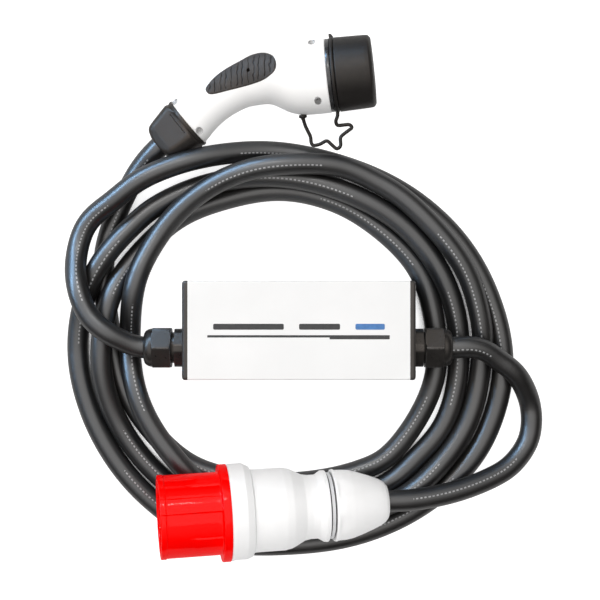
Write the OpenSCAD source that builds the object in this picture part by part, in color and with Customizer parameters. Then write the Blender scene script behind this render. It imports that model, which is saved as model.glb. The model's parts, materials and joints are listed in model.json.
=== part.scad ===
// Portable three-phase car charging cable with an in-cable control box.
// Frame: origin at the centre of the control box's underside, +X towards the
// supply side gland, +Y towards the vehicle connector, +Z up. Millimetres.

/* [Control box] */
// Length of the control box over both bezels
box_l = 183; // [181:0.5:186]
// Width of the control box
box_w = 78; // [76:0.5:80]
// Height of the control box
box_h = 70; // [68:0.5:72]
// Wall of the aluminium extrusion
box_wall = 2.2; // [1.8:0.1:2.6]
// Width of each black end bezel along the box
bezel_l = 4.4; // [4:0.1:5]
// Thickness of each end plate
plate_t = 2; // [1.5:0.1:2.4]

/* [Cable glands] */
// Across-flats size of the gland's dome nut
nut_af = 31.5; // [30:0.1:32]
// Across-flats size of the gland's body
base_af = 30.4; // [29:0.1:31]
// Height of the gland axis above the floor
gland_z = 37; // [36.8:0.1:38]
// Sideways place of the gland axis
gland_y = -14.5; // [-16:0.1:-13]

/* [Cables] */
// Outer diameter of both cables
cable_d = 17.5; // [17:0.1:17.6]

/* [Supply plug] */
// Outer radius of the red shroud
shroud_r = 32.5; // [31.5:0.1:33]
// Depth of the shroud in front of its flange
shroud_l = 48; // [46:0.5:50]
// Radius of the flange and of the white collar behind it
flange_r = 38.3; // [37:0.1:38.4]
// Radius of the circle that the five pins stand on
pin_ring_r = 16; // [15:0.1:17]
// Radius of the three live pins and the neutral pin
pin_r = 3; // [2.9:0.05:3.1]
// Radius of the thicker earth pin
earth_r = 4; // [3.9:0.05:4.1]
// Tilt of the plug where it lies on the cables, degrees
plug_tilt = 8.5; // [8:0.1:9]

/* [Vehicle connector] */
// Wall of the two handle shells
shell_t = 2.5; // [2:0.1:3]
// Tilt of the connector as it lies, degrees
gun_tilt = 5.1; // [4.9:0.1:5.2]
// Outer radius of the dust cap
cap_r = 29.9; // [29.6:0.1:30.2]
// Length of the dust cap
cap_l = 33.6; // [33:0.1:34.5]
// Bore radius of the five power sockets
power_bore_r = 3; // [2.9:0.05:3.1]
// Bore radius of the two signal sockets
signal_bore_r = 1.5; // [1.45:0.05:1.6]

/* [Hidden] */
$fn = 48;
eps = 0.01;
cr = cable_d / 2;
hx = box_l / 2;
ext = hx - bezel_l;

// Long cable, from inside the connector's clamp round the loops to the box.
long_route = [
  [-85, 172, 22], [-114, 149, 19], [-131, 131, 11], [-142, 112, 9], [-156, 79, 9],
  [-161, 44, 9], [-157, 7, 9], [-149, -34, 9], [-128, -75, 9], [-98, -106, 9],
  [-70, -119.5, 9], [-20, -127, 9], [30, -122, 9], [54, -115, 9], [75, -103, 9],
  [107, -55, 9], [113.5, -13, 9], [105.5, 32, 9], [87.5, 63, 9], [52, 93, 9],
  [20, 108, 9], [-18, 114, 9], [-60, 107, 9], [-96, 93, 9], [-121, 73, 9],
  [-141, 49, 17], [-154, 23, 26], [-160, -8, 26], [-160, -38, 22], [-149, -75, 13.5],
  [-121, -115, 9], [-88, -143.5, 9], [-70, -155.5, 9], [-20, -161, 11], [14, -160, 14],
  [45, -153.5, 12.5], [75, -142.5, 18], [101, -125.5, 17], [139, -76, 11], [150, -25, 12],
  [150, -3, 18], [142, 32, 23], [125, 64, 27], [86, 105, 28], [62, 120, 29],
  [35, 131, 33], [-7, 133, 40], [-41, 128, 40], [-72, 115, 34], [-97, 96, 28],
  [-115, 74, 27], [-129, 47, 32], [-135, 24, 29], [-138, -4, 18], [-134, -44, 24],
  [-115, -86, 27], [-86, -121.5, 24], [-66, -139, 12], [-20, -144, 9], [45, -136.5, 9],
  [75, -126, 9], [97.5, -105.5, 9], [120.5, -76, 9], [132, -20, 9], [121, 36, 15],
  [86, 84, 20], [42, 110, 24], [1, 122, 25], [-40, 124, 22], [-86, 115, 16],
  [-119, 99, 17], [-134, 86, 21], [-152, 66, 27], [-166, 45, 26], [-176, 22, 17],
  [-182, -17, 9], [-170, -72, 9], [-142, -119.5, 9], [-111.5, -149, 9], [-70, -173, 9],
  [-11, -177.5, 9], [45, -170, 9], [99, -146.5, 9], [137, -113.5, 9], [157, -80.5, 9],
  [168, -30, 9], [158, 23, 9], [131, 72, 9], [84, 113, 9], [30, 136, 9],
  [-27, 145.5, 14], [-82.5, 138, 31], [-110, 129, 35], [-131, 118.5, 36], [-151, 103.5, 32],
  [-171.5, 86, 26], [-180, 60, 29], [-178, 36, 40], [-169, 13, 44], [-155, -1, 45],
  [-141, -9, 41], [-124, -14.5, 37], [-78, -14.5, 37]
];

// Short cable, from the box's other gland to the supply plug.
short_route = [
  [78, -14.5, 37], [124, -14.5, 37], [137, -14, 36], [150, -17, 33], [162, -25, 29],
  [175, -35, 25], [186, -51, 15], [191, -66, 9], [191, -83, 9], [186, -97, 11],
  [174, -111, 16], [159, -120, 21], [127, -131, 30], [90, -137, 38], [72, -137.5, 40.5],
  [50, -138.5, 44]
];

function norm1(v) = v / norm(v);
function tangent(p, i) =
  i == 0 ? norm1(p[1] - p[0]) :
  i == len(p) - 1 ? norm1(p[i] - p[i - 1]) :
  norm1(norm1(p[i + 1] - p[i]) + norm1(p[i] - p[i - 1]));
function side_of(t) = norm1(cross([0, 0, 1], t));
function ring_at(c, t, r, n) =
  let (s = side_of(t), u = cross(t, s))
  [for (k = [0:n - 1]) c + r * (cos(360 * (k + 0.5) / n) * s + sin(360 * (k + 0.5) / n) * u)];
function loop_faces(nr, n) = concat(
  [for (i = [0:nr - 2], k = [0:n - 1]) [i * n + k, (i + 1) * n + k, (i + 1) * n + (k + 1) % n]],
  [for (i = [0:nr - 2], k = [0:n - 1]) [i * n + k, (i + 1) * n + (k + 1) % n, i * n + (k + 1) % n]],
  [[for (k = [0:n - 1]) k]],
  [[for (k = [0:n - 1]) nr * n - 1 - k]]
);
// Round tube of solid rubber swept along a list of points.
module swept(p, r, n) {
  pts = [for (i = [0:len(p) - 1]) each ring_at(p[i], tangent(p, i), r, n)];
  polyhedron(points = pts, faces = loop_faces(len(p), n), convexity = 10);
}

module xcyl(r, x0, x1, y = 0, z = 0)
  translate([x0, y, z]) rotate([0, 90, 0]) cylinder(h = x1 - x0, r = r);
module xhex(af, x0, x1, y = 0, z = 0)
  translate([x0, y, z]) rotate([0, 90, 0]) cylinder(h = x1 - x0, r = af / 2 / cos(30), $fn = 6);
// Revolved profile of [radius, place along X].
module xrev(p)
  rotate([0, 90, 0]) rotate_extrude($fn = 72) polygon(p);

// ---------------------------------------------------------------- control box
screw_y = box_w / 2 - 5.5;
screw_z = box_h / 2 - 5.5;
module at_screws() for (y = [-screw_y, screw_y], z = [-screw_z, screw_z])
  translate([0, y, box_h / 2 + z]) children();
module rounded(w, h, r) {
  square([w - 2 * r, h], center = true);
  square([w, h - 2 * r], center = true);
  for (x = [-1, 1], y = [-1, 1]) translate([x * (w / 2 - r), y * (h / 2 - r)]) circle(r, $fn = 24);
}
// Section of the extrusion: flat tube, corner screw channels, board slots.
module extrusion() {
  difference() {
    union() {
      difference() {
        rounded(box_h, box_w, 1.5);
        square([box_h - 2 * box_wall, box_w - 2 * box_wall], center = true);
      }
      for (x = [-screw_z, screw_z], y = [-screw_y, screw_y]) translate([x, y]) circle(3.6);
      for (y = [-1, 1], x = [14, 17.6 + 0.2])
        translate([box_h / 2 - x - (x > 15 ? 1.6 : 0), y * (box_w / 2 - box_wall - 1.4) - 1.5]) square([1.6, 3]);
    }
    for (x = [-screw_z, screw_z], y = [-screw_y, screw_y]) translate([x, y]) circle(1.5);
  }
}
module box_shell()
  color("whitesmoke") translate([-ext, 0, box_h / 2]) rotate([0, 90, 0]) linear_extrude(2 * ext) extrusion();

module bezel(s) {
  color("dimgray") difference() {
    translate([s * (ext + bezel_l / 2), 0, box_h / 2]) rotate([0, 90, 0])
      linear_extrude(bezel_l, center = true) rounded(box_h, box_w, 2.5);
    translate([s * hx, 0, box_h / 2]) cube([2 * bezel_l + 1, box_w - 18, box_h - 18], center = true);
    translate([s * (ext + plate_t / 2 - 0.5), 0, box_h / 2]) cube([plate_t + 1, box_w - 4, box_h - 4], center = true);
    at_screws() xcyl(1.8, -hx - 1, hx + 1);
    at_screws() for (q = [-1, 1]) translate([q * (hx - 0.8), 0, 0]) xcyl(3, -0.8 - (q < 0 ? 1 : 0), 0.8 + (q > 0 ? 1 : 0));
  }
}
module bezel_left() bezel(-1);
module bezel_right() bezel(1);

module end_plate(s)
  color("silver") difference() {
    translate([s * (ext + plate_t / 2), 0, box_h / 2]) cube([plate_t, box_w - 4.4, box_h - 4.4], center = true);
    at_screws() xcyl(1.8, -hx - 1, hx + 1);
    xcyl(12.5, s * (ext + 1) - 3, s * (ext + 1) + 3, gland_y, gland_z);
  }
module end_plate_left() end_plate(-1);
module end_plate_right() end_plate(1);

module box_screws() color("gainsboro") at_screws() for (s = [-1, 1]) scale([s < 0 ? 1 : 1, 1, 1])
  rotate([0, 0, s < 0 ? 180 : 0]) difference() {
    union() { xcyl(1.5, ext - 10, hx - 1.6); xcyl(2.8, hx - 1.6, hx + 0.2); }
    translate([hx + 0.2, 0, 0]) cube([1.6, 4, 0.7], center = true);
    translate([hx + 0.2, 0, 0]) cube([1.6, 0.7, 4], center = true);
  }

module control_board() color("darkgreen") difference() {
  translate([-78, -35.2, 15.6]) cube([156, 70.4, 1.6]);
  for (x = [-70, 70], y = [-26, 26]) translate([x, y, 15]) cylinder(h = 3, r = 1.6);
}
module relay(x) {
  color("black") translate([x, -24, 17.2]) cube([29, 16, 24]);
  color("silver") for (k = [0:3]) translate([x + 4 + 7 * k, -17, 12.6]) cylinder(h = 3, r = 0.6, $fn = 16);
}
module relay_a() color("black") translate([-22, 8, 17.2]) cube([30, 22, 26]);
module relay_b() color("black") translate([12, 8, 17.2]) cube([30, 22, 26]);
module power_module() color("darkslategray") translate([-12, -32, 17.2]) cube([46, 24, 18]);
module current_sensor() color("dimgray") translate([-40, 8, 17.2]) difference() {
  union() { xcyl(15, 0, 12, 0, 15); translate([0, -15, 0]) cube([12, 30, 8]); }
  xcyl(8.5, -1, 13, 0, 15);
}
module terminal(x) color("seagreen") difference() {
  translate([x, gland_y - 12, 17.2]) cube([12, 24, 26]);
  for (k = [-2:2]) xcyl(1.7, x - 1, x + 13, gland_y + 4.4 * k, gland_z - 2);
  for (k = [-2:2]) translate([x + 6, gland_y + 4.4 * k, 39]) cylinder(h = 5, r = 1.5, $fn = 24);
}
module terminal_out() terminal(-66);
module terminal_in() terminal(54);
module cores(x0, x1) color("peru")
  for (k = [0:4]) xcyl(1.6, x0, x1, gland_y + 5 * cos(90 + 72 * k), gland_z + 5 * sin(90 + 72 * k));

// --------------------------------------------------------------------- glands
// s is the side of the box, n0 where the dome nut starts.
module gland_place(s) translate([0, gland_y, gland_z]) rotate([0, 0, s < 0 ? 180 : 0]) children();
module gland_body(s) color("#1c1c1d") gland_place(s) difference() {
  union() {
    xcyl(12.4, ext - 9, ext + plate_t + 1);
    xhex(base_af, ext + plate_t, hx + 8);
    xcyl(12.4, hx + 7, hx + 17);
  }
  xcyl(9.2, 0, hx + 30);
}
module gland_nut(s, n0) color("#1c1c1d") gland_place(s) difference() {
  union() {
    xhex(nut_af, n0, n0 + 15);
    xrev([[0, n0 + 15], [15.4, n0 + 15], [15.0, n0 + 18], [13.6, n0 + 20.6], [11.2, n0 + 22], [0, n0 + 22]]);
  }
  xcyl(12.6, n0 - 1, n0 + 14.5);
  xcyl(9.0, n0, n0 + 40);
}
module gland_seal(s) color("#2a2a2a") gland_place(s) difference() {
  xcyl(12.3, hx + 17, hx + 22.8);
  xcyl(8.8, hx, hx + 40);
}
module gland_locknut(s) color("#1c1c1d") gland_place(s) difference() {
  xhex(31, ext - 6, ext);
  xcyl(12.4, ext - 7, ext + 1);
}
module gland_left_body() gland_body(-1);
module gland_left_nut() gland_nut(-1, 102.4);
module gland_left_seal() gland_seal(-1);
module gland_left_locknut() gland_locknut(-1);
module gland_right_body() gland_body(1);
module gland_right_nut() gland_nut(1, 101);
module gland_right_seal() gland_seal(1);
module gland_right_locknut() gland_locknut(1);

// --------------------------------------------------------------------- cables
module long_cable() color("#202123") swept(long_route, cr, 8);
module short_cable() color("#202123") swept(short_route, cr, 8);

// ---------------------------------------------------------------- supply plug
// Local frame: origin at the flange's front face, +X along the axis to the cable.
module plug_place() translate([-62.4, -144.2, 60.6]) rotate([0, plug_tilt, 2.8]) children();
module plug_shroud() color("red") plug_place() difference() {
  union() {
    xcyl(shroud_r, -shroud_l, 1);
    xcyl(shroud_r + 0.6, -shroud_l, -shroud_l + 4);
    xcyl(flange_r, 0, 6.5);
    rotate([-20.5, 0, 0]) translate([-shroud_l, -6, shroud_r - 3]) cube([shroud_l + 1, 12, 4.4]);
    rotate([-150, 0, 0]) translate([-22, -5, shroud_r - 3]) cube([23, 10, 4.2]);
  }
  xcyl(shroud_r - 3, -shroud_l - 1, 7);
}
function pin_at(k) = [pin_ring_r * cos(258 + 72 * k), pin_ring_r * sin(258 + 72 * k)];
module pin_spot(k) translate([0, pin_at(k)[0], pin_at(k)[1]]) children();
module plug_insert() color("#d7d9da") plug_place() difference() {
  union() {
    xcyl(shroud_r - 3, -4, 6.5);
    xcyl(27, 6, 24);
  }
  pin_spot(0) xcyl(earth_r + 0.5, -5, 25);
  for (k = [1:4]) pin_spot(k) xcyl(pin_r + 0.5, -5, 25);
}
module plug_pin(k, r, x0) color("#c9c4b4") plug_place() pin_spot(k) difference() {
  union() {
    xcyl(r, x0 + 1, -3);
    xcyl(r + 0.5, -4, 30);
    xrev([[0, x0], [r - 0.9, x0], [r, x0 + 1.01], [0, x0 + 1.01]]);
  }
  xcyl(r - 1.2, 22, 31);
}
module plug_pin_earth() plug_pin(0, earth_r, -44);
module plug_pin_l1() plug_pin(1, pin_r, -41);
module plug_pin_l2() plug_pin(2, pin_r, -41);
module plug_pin_l3() plug_pin(3, pin_r, -41);
module plug_pin_n() plug_pin(4, pin_r, -41);
module plug_body() color("white") plug_place() difference() {
  xrev([
    [29.5, 6.5], [flange_r, 6.5], [flange_r, 19.5], [35.2, 24.6], [32.6, 25.4], [32.6, 50], [31.4, 56],
    [28.4, 62], [26.2, 66], [25.3, 71], [25.3, 77], [28.0, 81], [28.3, 85], [21.5, 85], [21.5, 60], [28, 52], [29.5, 48]]);
  translate([9.5, -45, -40]) cube([16, 9.2, 80]);
}
module plug_seal() color("#3a3b3d") plug_place() xrev([[8.9, 85], [26.4, 85], [26.4, 89.6], [8.9, 89.6]]);
module plug_clamp() color("#8e9193") plug_place() difference() {
  xcyl(20.5, 68, 84.8);
  xcyl(8.9, 60, 90);
  for (q = [-1, 1]) translate([72, q * 15, -25]) cylinder(h = 50, r = 1.7);
}
module plug_nut() color("white") plug_place() difference() {
  intersection() {
    xrev([[0, 89.6], [28.4, 89.6], [28.7, 92], [28.5, 97], [27.2, 104], [24.8, 112], [21.6, 121], [18.6, 128],
          [16.6, 132], [14.4, 134.4], [0, 134.8]]);
    xhex(55.6, 89, 136);
  }
  xcyl(8.9, 80, 140);
  xrev([[0, 88], [22, 88], [22, 98], [14, 116], [0, 116]]);
}

// ---------------------------------------------------------- vehicle connector
// Local frame: origin on the nose axis at the front edge of the white shells,
// +X out of the nose, +Y across the handle's plane, +Z up through the split.
module gun_place() translate([23.9, 205, 32.4]) rotate([0, 0, 20]) rotate([0, -gun_tilt, 0]) rotate([0, 0, -14.5]) children();
// Sections of the handle: [along, across, half width, half height, lean].
gun_s = [
  [0, 0, 29.8, 30.2, 0], [-12, 0, 29.8, 30.2, 0], [-24, 0.4, 29.5, 30, 0], [-34, 2, 28, 29.2, 0],
  [-42, 4.2, 25.6, 27.4, 0], [-50, 5.6, 23.6, 25, 2], [-62, 4.7, 22.5, 22.5, 8], [-76, 1.5, 21.4, 21, 19],
  [-92, -6, 20.5, 20.3, 30], [-105.5, -15.5, 19.9, 20, 36], [-118.9, -26.7, 21.2, 20.5, 34]
];
gun_n = 12;
// Point on the handle at section g, angle t from +Y over the top, moved out by o.
function gun_pt(g, t, o, s) = [
  g[0] - sin(g[4]) * (g[2] + o) * cos(t),
  g[1] + cos(g[4]) * (g[2] + o) * cos(t),
  s * (g[3] + o) * sin(t)];
function half_pts(s) = [for (g = gun_s) each concat(
  [for (k = [0:gun_n]) gun_pt(g, 180 * k / gun_n, 0, s)],
  [for (k = [0:gun_n]) gun_pt(g, 180 - 180 * k / gun_n, -shell_t, s)])];
gm = 2 * (gun_n + 1);
function half_faces() = concat(
  [for (i = [0:len(gun_s) - 2], k = [0:gm - 1]) [i * gm + k, i * gm + (k + 1) % gm, (i + 1) * gm + (k + 1) % gm]],
  [for (i = [0:len(gun_s) - 2], k = [0:gm - 1]) [i * gm + k, (i + 1) * gm + (k + 1) % gm, (i + 1) * gm + k]],
  [for (k = [0:gun_n - 1]) [k, gm - 1 - k, gm - 2 - k]], [for (k = [0:gun_n - 1]) [k, gm - 2 - k, k + 1]],
  [for (k = [0:gun_n - 1]) let (b = (len(gun_s) - 1) * gm) [b + k, b + gm - 2 - k, b + gm - 1 - k]],
  [for (k = [0:gun_n - 1]) let (b = (len(gun_s) - 1) * gm) [b + k, b + k + 1, b + gm - 2 - k]]);
function flip(f) = [for (q = f) [q[0], q[2], q[1]]];
// Screw places in the handle's plane, then the depth of each thread below the
// split and the height of the seat that the head stands on.
gun_screw_at = [[-10.2, 26.3, 7, 4], [-9.3, -21.5, 12, 5], [-106.9, -34.6, 11, 8], [-125.6, -9, 6, 1.5]];
// Solid form of one half, a little inside its skin: what the screw columns end on.
module gun_core(s)
  polyhedron(points = [for (g = gun_s, k = [0:gun_n]) gun_pt(g, s > 0 ? 180 - 180 * k / gun_n : 180 * k / gun_n, -0.3, s)],
    faces = loop_faces(len(gun_s), gun_n + 1), convexity = 6);
module gun_half(s) difference() {
  union() {
    polyhedron(points = half_pts(s), faces = s > 0 ? half_faces() : flip(half_faces()), convexity = 6);
    intersection() {
      gun_core(s);
      for (q = gun_screw_at) translate([q[0], q[1], s > 0 ? 0 : -40]) cylinder(h = 40, r = 3.3);
    }
  }
  for (q = gun_screw_at) translate([q[0], q[1], s > 0 ? -1 : -q[2] + 1]) cylinder(h = 40, r = s > 0 ? 1.7 : 1.5);
  if (s > 0) for (q = gun_screw_at) translate([q[0], q[1], q[3]]) cylinder(h = 40, r = 2.8);
}
module gun_shell_upper() color("white") gun_place() gun_half(1);
module gun_shell_lower() color("white") gun_place() gun_half(-1);
module gun_screws() color("silver") gun_place() for (q = gun_screw_at) translate([q[0], q[1], 0]) difference() {
  union() { translate([0, 0, -q[2] + 1]) cylinder(h = q[2] + q[3] - 0.5, r = 1.5); translate([0, 0, q[3]]) cylinder(h = 2, r = 2.6); }
  translate([0, 0, q[3] + 2]) cube([4, 0.7, 1.4], center = true);
  translate([0, 0, q[3] + 2]) cube([0.7, 4, 1.4], center = true);
}
// Section of the handle at place a along it, where 0 is the nose.
function mixed(i, f) = gun_s[i] * (1 - f) + gun_s[i + 1] * f;
pad_s = [mixed(4, 0.15), mixed(4, 0.6), mixed(5, 0.3), mixed(6, 0), mixed(6, 0.5), mixed(7, 0), mixed(7, 0.5), mixed(8, 0), mixed(8, 0.42)];
pad_a = [[57, 80], [50, 88], [44, 97], [39, 103], [38, 103], [39, 103], [41, 102], [47, 101], [62, 90]];
pad_n = 5;
pm = 2 * (pad_n + 1);
function pad_pts(s) = [for (i = [0:len(pad_s) - 1]) each concat(
  [for (k = [0:pad_n]) gun_pt(pad_s[i], pad_a[i][0] + (pad_a[i][1] - pad_a[i][0]) * k / pad_n, 1.2, s)],
  [for (k = [0:pad_n]) gun_pt(pad_s[i], pad_a[i][1] - (pad_a[i][1] - pad_a[i][0]) * k / pad_n, 0.1, s)])];
function pad_faces() = concat(
  [for (i = [0:len(pad_s) - 2], k = [0:pm - 1]) [i * pm + k, i * pm + (k + 1) % pm, (i + 1) * pm + (k + 1) % pm]],
  [for (i = [0:len(pad_s) - 2], k = [0:pm - 1]) [i * pm + k, (i + 1) * pm + (k + 1) % pm, (i + 1) * pm + k]],
  [for (k = [0:pad_n - 1]) [k, pm - 1 - k, pm - 2 - k]], [for (k = [0:pad_n - 1]) [k, pm - 2 - k, k + 1]],
  [for (k = [0:pad_n - 1]) let (b = (len(pad_s) - 1) * pm) [b + k, b + pm - 2 - k, b + pm - 1 - k]],
  [for (k = [0:pad_n - 1]) let (b = (len(pad_s) - 1) * pm) [b + k, b + k + 1, b + pm - 2 - k]]);
module grip_pad(s) color("#4f4b48") gun_place()
  polyhedron(points = pad_pts(s), faces = s > 0 ? pad_faces() : flip(pad_faces()), convexity = 4);
module grip_pad_upper() grip_pad(1);
module grip_pad_lower() grip_pad(-1);

module boot_place() translate([-118.9, -26.7, 0]) rotate([0, 0, 214]) children();
module gun_boot() color("#1b1b1c") gun_place() boot_place() xrev([
  [9, -2], [11.4, -2], [11.4, 0], [21.4, 0], [21.4, -2.2], [22.1, -2.2], [22.1, 1], [21, 2], [20.3, 8], [18.8, 16],
  [17.4, 23], [15.5, 27], [13, 28.6], [11.6, 29], [9, 29]]);
module gun_clamp() color("#8e9193") gun_place() boot_place() difference() {
  xcyl(13.5, -20, -9.2);
  xcyl(9, -24, 0);
}

// Type of face: seven sockets in a round block with a flat top.
sock = [[0, 1.5], [-16, 1.5], [16, 1.5], [-8.6, -13], [8.6, -13], [-7.6, 14.2], [7.6, 14.2]];
// The signal pair is at the top; the face's top points along +Y.
module sock_spot(k) translate([0, sock[k][1], sock[k][0]]) children();
module connector_insert() color("#161617") gun_place() difference() {
  union() {
    xcyl(26.6, -5, 0);
    xcyl(29.4, 0, 3);
    intersection() {
      xcyl(25.6, 2, 33);
      translate([0, -40, -40]) cube([40, 63.4, 80]);
    }
  }
  // each socket has a tapered lead-in at the face
  for (k = [0:4]) sock_spot(k) { translate([29, 0, 0]) rotate([0, 90, 0]) cylinder(h = 5, r1 = 3.33, r2 = 4.17); xcyl(4.3, -11, 30); }
  for (k = [5:6]) sock_spot(k) { translate([29, 0, 0]) rotate([0, 90, 0]) cylinder(h = 5, r1 = 1.83, r2 = 2.67); xcyl(2.7, -11, 30); }
}
module contact(k, r, bore, x0) color("#c8b273") gun_place() sock_spot(k) difference() {
  xcyl(r, x0, 30);
  xcyl(bore, -4, 31);
  xcyl(bore - 0.6, x0 - 1, x0 + 9);
}
module contact_pe() contact(0, 4.2, power_bore_r, -22);
module contact_n() contact(1, 4.2, power_bore_r, -22);
module contact_l1() contact(2, 4.2, power_bore_r, -22);
module contact_l2() contact(3, 4.2, power_bore_r, -22);
module contact_l3() contact(4, 4.2, power_bore_r, -22);
module contact_pp() contact(5, 2.6, signal_bore_r, -18);
module contact_cp() contact(6, 2.6, signal_bore_r, -18);

// Cap: a cup with a narrower neck that the tether's ring sits on.
module dust_cap() color("#232324") gun_place() difference() {
  intersection() {
    xrev([[0, 3.2], [27.6, 3.2], [27.6, 6.6], [cap_r, 6.6], [cap_r, 8], [29.1, 3.2 + cap_l - 3], [28.2, 3.2 + cap_l - 0.9], [26.6, 3.2 + cap_l], [0, 3.2 + cap_l]]);
    translate([0, -40, -40]) cube([60, 69.4, 80]);
  }
  intersection() {
    xcyl(25.9, 3, 34.6);
    translate([0, -40, -40]) cube([60, 63.7, 80]);
  }
}
// Tether: a ring round the cap's neck, a zigzag strap and a button on the handle.
tether_route = [
  [4.6, -28.8, 0], [4.2, -33.4, -1], [1.9, -36.8, -2], [2.8, -40.6, -3.5], [13.2, -40.4, -4], [15.4, -43.2, -4.5],
  [8.2, -47.2, -5], [4.4, -49.8, -5], [4.3, -57.4, -5], [0.8, -59.6, -4.5], [-6.6, -51.2, -4.5], [-12.6, -54, -5],
  [-18.6, -54.6, -5], [-19.6, -52, -5], [-19.4, -47, -4.5], [-22.6, -38.8, -3], [-23.8, -33, -1], [-23.8, -31, 0]
];
module cap_tether() color("#232324") gun_place() {
  swept(tether_route, 1.4, 8);
  difference() { xcyl(30.2, 3.4, 6.2); xcyl(27.7, 3, 7); }
  translate([4.9, 31.4, 0]) cube([3.4, 3.6, 5], center = true);
  translate([-23.8, -30.5, 0]) rotate([90, 0, 0]) cylinder(h = 2.4, r = 3.3, center = true, $fn = 24);
}

module supply_cores() cores(66, 78);
module vehicle_cores() cores(-78, -66);

box_shell();
bezel_left();
bezel_right();
end_plate_left();
end_plate_right();
box_screws();
control_board();
relay_a();
relay_b();
power_module();
current_sensor();
terminal_in();
terminal_out();
supply_cores();
vehicle_cores();
gland_left_body();
gland_left_nut();
gland_left_seal();
gland_left_locknut();
gland_right_body();
gland_right_nut();
gland_right_seal();
gland_right_locknut();
long_cable();
short_cable();
plug_shroud();
plug_insert();
plug_pin_earth();
plug_pin_l1();
plug_pin_l2();
plug_pin_l3();
plug_pin_n();
plug_body();
plug_seal();
plug_clamp();
plug_nut();
gun_shell_upper();
gun_shell_lower();
gun_screws();
grip_pad_upper();
grip_pad_lower();
gun_boot();
gun_clamp();
connector_insert();
contact_pe();
contact_n();
contact_l1();
contact_l2();
contact_l3();
contact_pp();
contact_cp();
dust_cap();
cap_tether();
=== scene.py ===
# Looks of a portable three-phase car charging cable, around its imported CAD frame.
import json
import math

import bmesh
import bpy
import numpy as np
from mathutils import Matrix, Vector
from mathutils.bvhtree import BVHTree

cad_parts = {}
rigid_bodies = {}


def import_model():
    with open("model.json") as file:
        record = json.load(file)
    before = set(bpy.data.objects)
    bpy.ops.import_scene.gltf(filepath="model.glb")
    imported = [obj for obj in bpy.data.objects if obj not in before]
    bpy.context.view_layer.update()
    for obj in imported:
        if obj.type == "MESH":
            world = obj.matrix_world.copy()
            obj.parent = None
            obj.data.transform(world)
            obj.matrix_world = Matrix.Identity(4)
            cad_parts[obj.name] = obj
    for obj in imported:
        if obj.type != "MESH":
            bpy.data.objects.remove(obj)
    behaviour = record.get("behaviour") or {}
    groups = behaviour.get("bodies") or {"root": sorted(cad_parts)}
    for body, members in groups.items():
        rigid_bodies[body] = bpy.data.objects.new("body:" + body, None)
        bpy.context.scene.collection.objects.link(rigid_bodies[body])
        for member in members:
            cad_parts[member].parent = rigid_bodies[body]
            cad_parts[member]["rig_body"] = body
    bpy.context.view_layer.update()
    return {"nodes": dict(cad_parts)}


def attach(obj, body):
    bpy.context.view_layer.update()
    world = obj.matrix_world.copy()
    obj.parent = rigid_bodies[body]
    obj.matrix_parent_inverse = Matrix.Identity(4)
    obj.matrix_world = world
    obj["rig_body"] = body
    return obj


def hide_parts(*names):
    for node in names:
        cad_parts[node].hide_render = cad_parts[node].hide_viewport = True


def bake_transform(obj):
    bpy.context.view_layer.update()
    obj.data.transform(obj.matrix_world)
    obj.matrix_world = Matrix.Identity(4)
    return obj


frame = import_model()
nodes = frame["nodes"]
scene = bpy.context.scene
MM = 0.001
rad = math.radians


# ------------------------------------------------------------------ camera
def aim(obj, target):
    d = Vector(target) - obj.location
    obj.rotation_euler = d.to_track_quat("-Z", "Y").to_euler()


cam_data = bpy.data.cameras.new("camera")
cam_data.lens = 86.75
cam_data.sensor_width = 36
camera = bpy.data.objects.new("camera", cam_data)
camera.location = (0.0009, 0.0238, 1.2)
scene.collection.objects.link(camera)
scene.camera = camera


# --------------------------------------------------------------- materials
def node_mat(name):
    m = bpy.data.materials.new(name)
    m.use_nodes = True
    nt = m.node_tree
    nt.nodes.clear()
    out = nt.nodes.new("ShaderNodeOutputMaterial")
    p = nt.nodes.new("ShaderNodeBsdfPrincipled")
    nt.links.new(p.outputs[0], out.inputs[0])
    return m, nt, p


def noise(nt, scale, detail=3.0, rough=0.55, stretch=None, coord=None, distort=0.0):
    """Noise over the piece's own coordinates; scale is per metre."""
    if coord is None:
        tc = nt.nodes.new("ShaderNodeTexCoord")
        coord = tc.outputs["Object"]
    if stretch:
        mp = nt.nodes.new("ShaderNodeMapping")
        mp.inputs["Scale"].default_value = stretch
        nt.links.new(coord, mp.inputs[0])
        coord = mp.outputs[0]
    n = nt.nodes.new("ShaderNodeTexNoise")
    n.inputs["Scale"].default_value = scale
    n.inputs["Detail"].default_value = detail
    n.inputs["Roughness"].default_value = rough
    n.inputs["Distortion"].default_value = distort
    nt.links.new(coord, n.inputs["Vector"])
    return n.outputs["Fac"]


def remap(nt, fac, a, b, c, d):
    r = nt.nodes.new("ShaderNodeMapRange")
    for i, v in enumerate((a, b, c, d)):
        r.inputs[i + 1].default_value = v
    nt.links.new(fac, r.inputs[0])
    return r.outputs[0]


def mixed(nt, fac, a, b):
    """Colour a where fac is 0, b where it is 1; a and b are colours or sockets."""
    m = nt.nodes.new("ShaderNodeMix")
    m.data_type = "RGBA"
    if isinstance(fac, (int, float)):
        m.inputs[0].default_value = fac
    else:
        nt.links.new(fac, m.inputs[0])
    for v, i in ((a, 6), (b, 7)):
        if isinstance(v, tuple):
            m.inputs[i].default_value = (*v, 1)
        else:
            nt.links.new(v, m.inputs[i])
    return m.outputs[2]


def maths(nt, op, a, b=None, clamp=False):
    m = nt.nodes.new("ShaderNodeMath")
    m.operation = op
    m.use_clamp = clamp
    for i, v in enumerate((a, b)):
        if v is None:
            continue
        if isinstance(v, (int, float)):
            m.inputs[i].default_value = v
        else:
            nt.links.new(v, m.inputs[i])
    return m.outputs[0]


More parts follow.
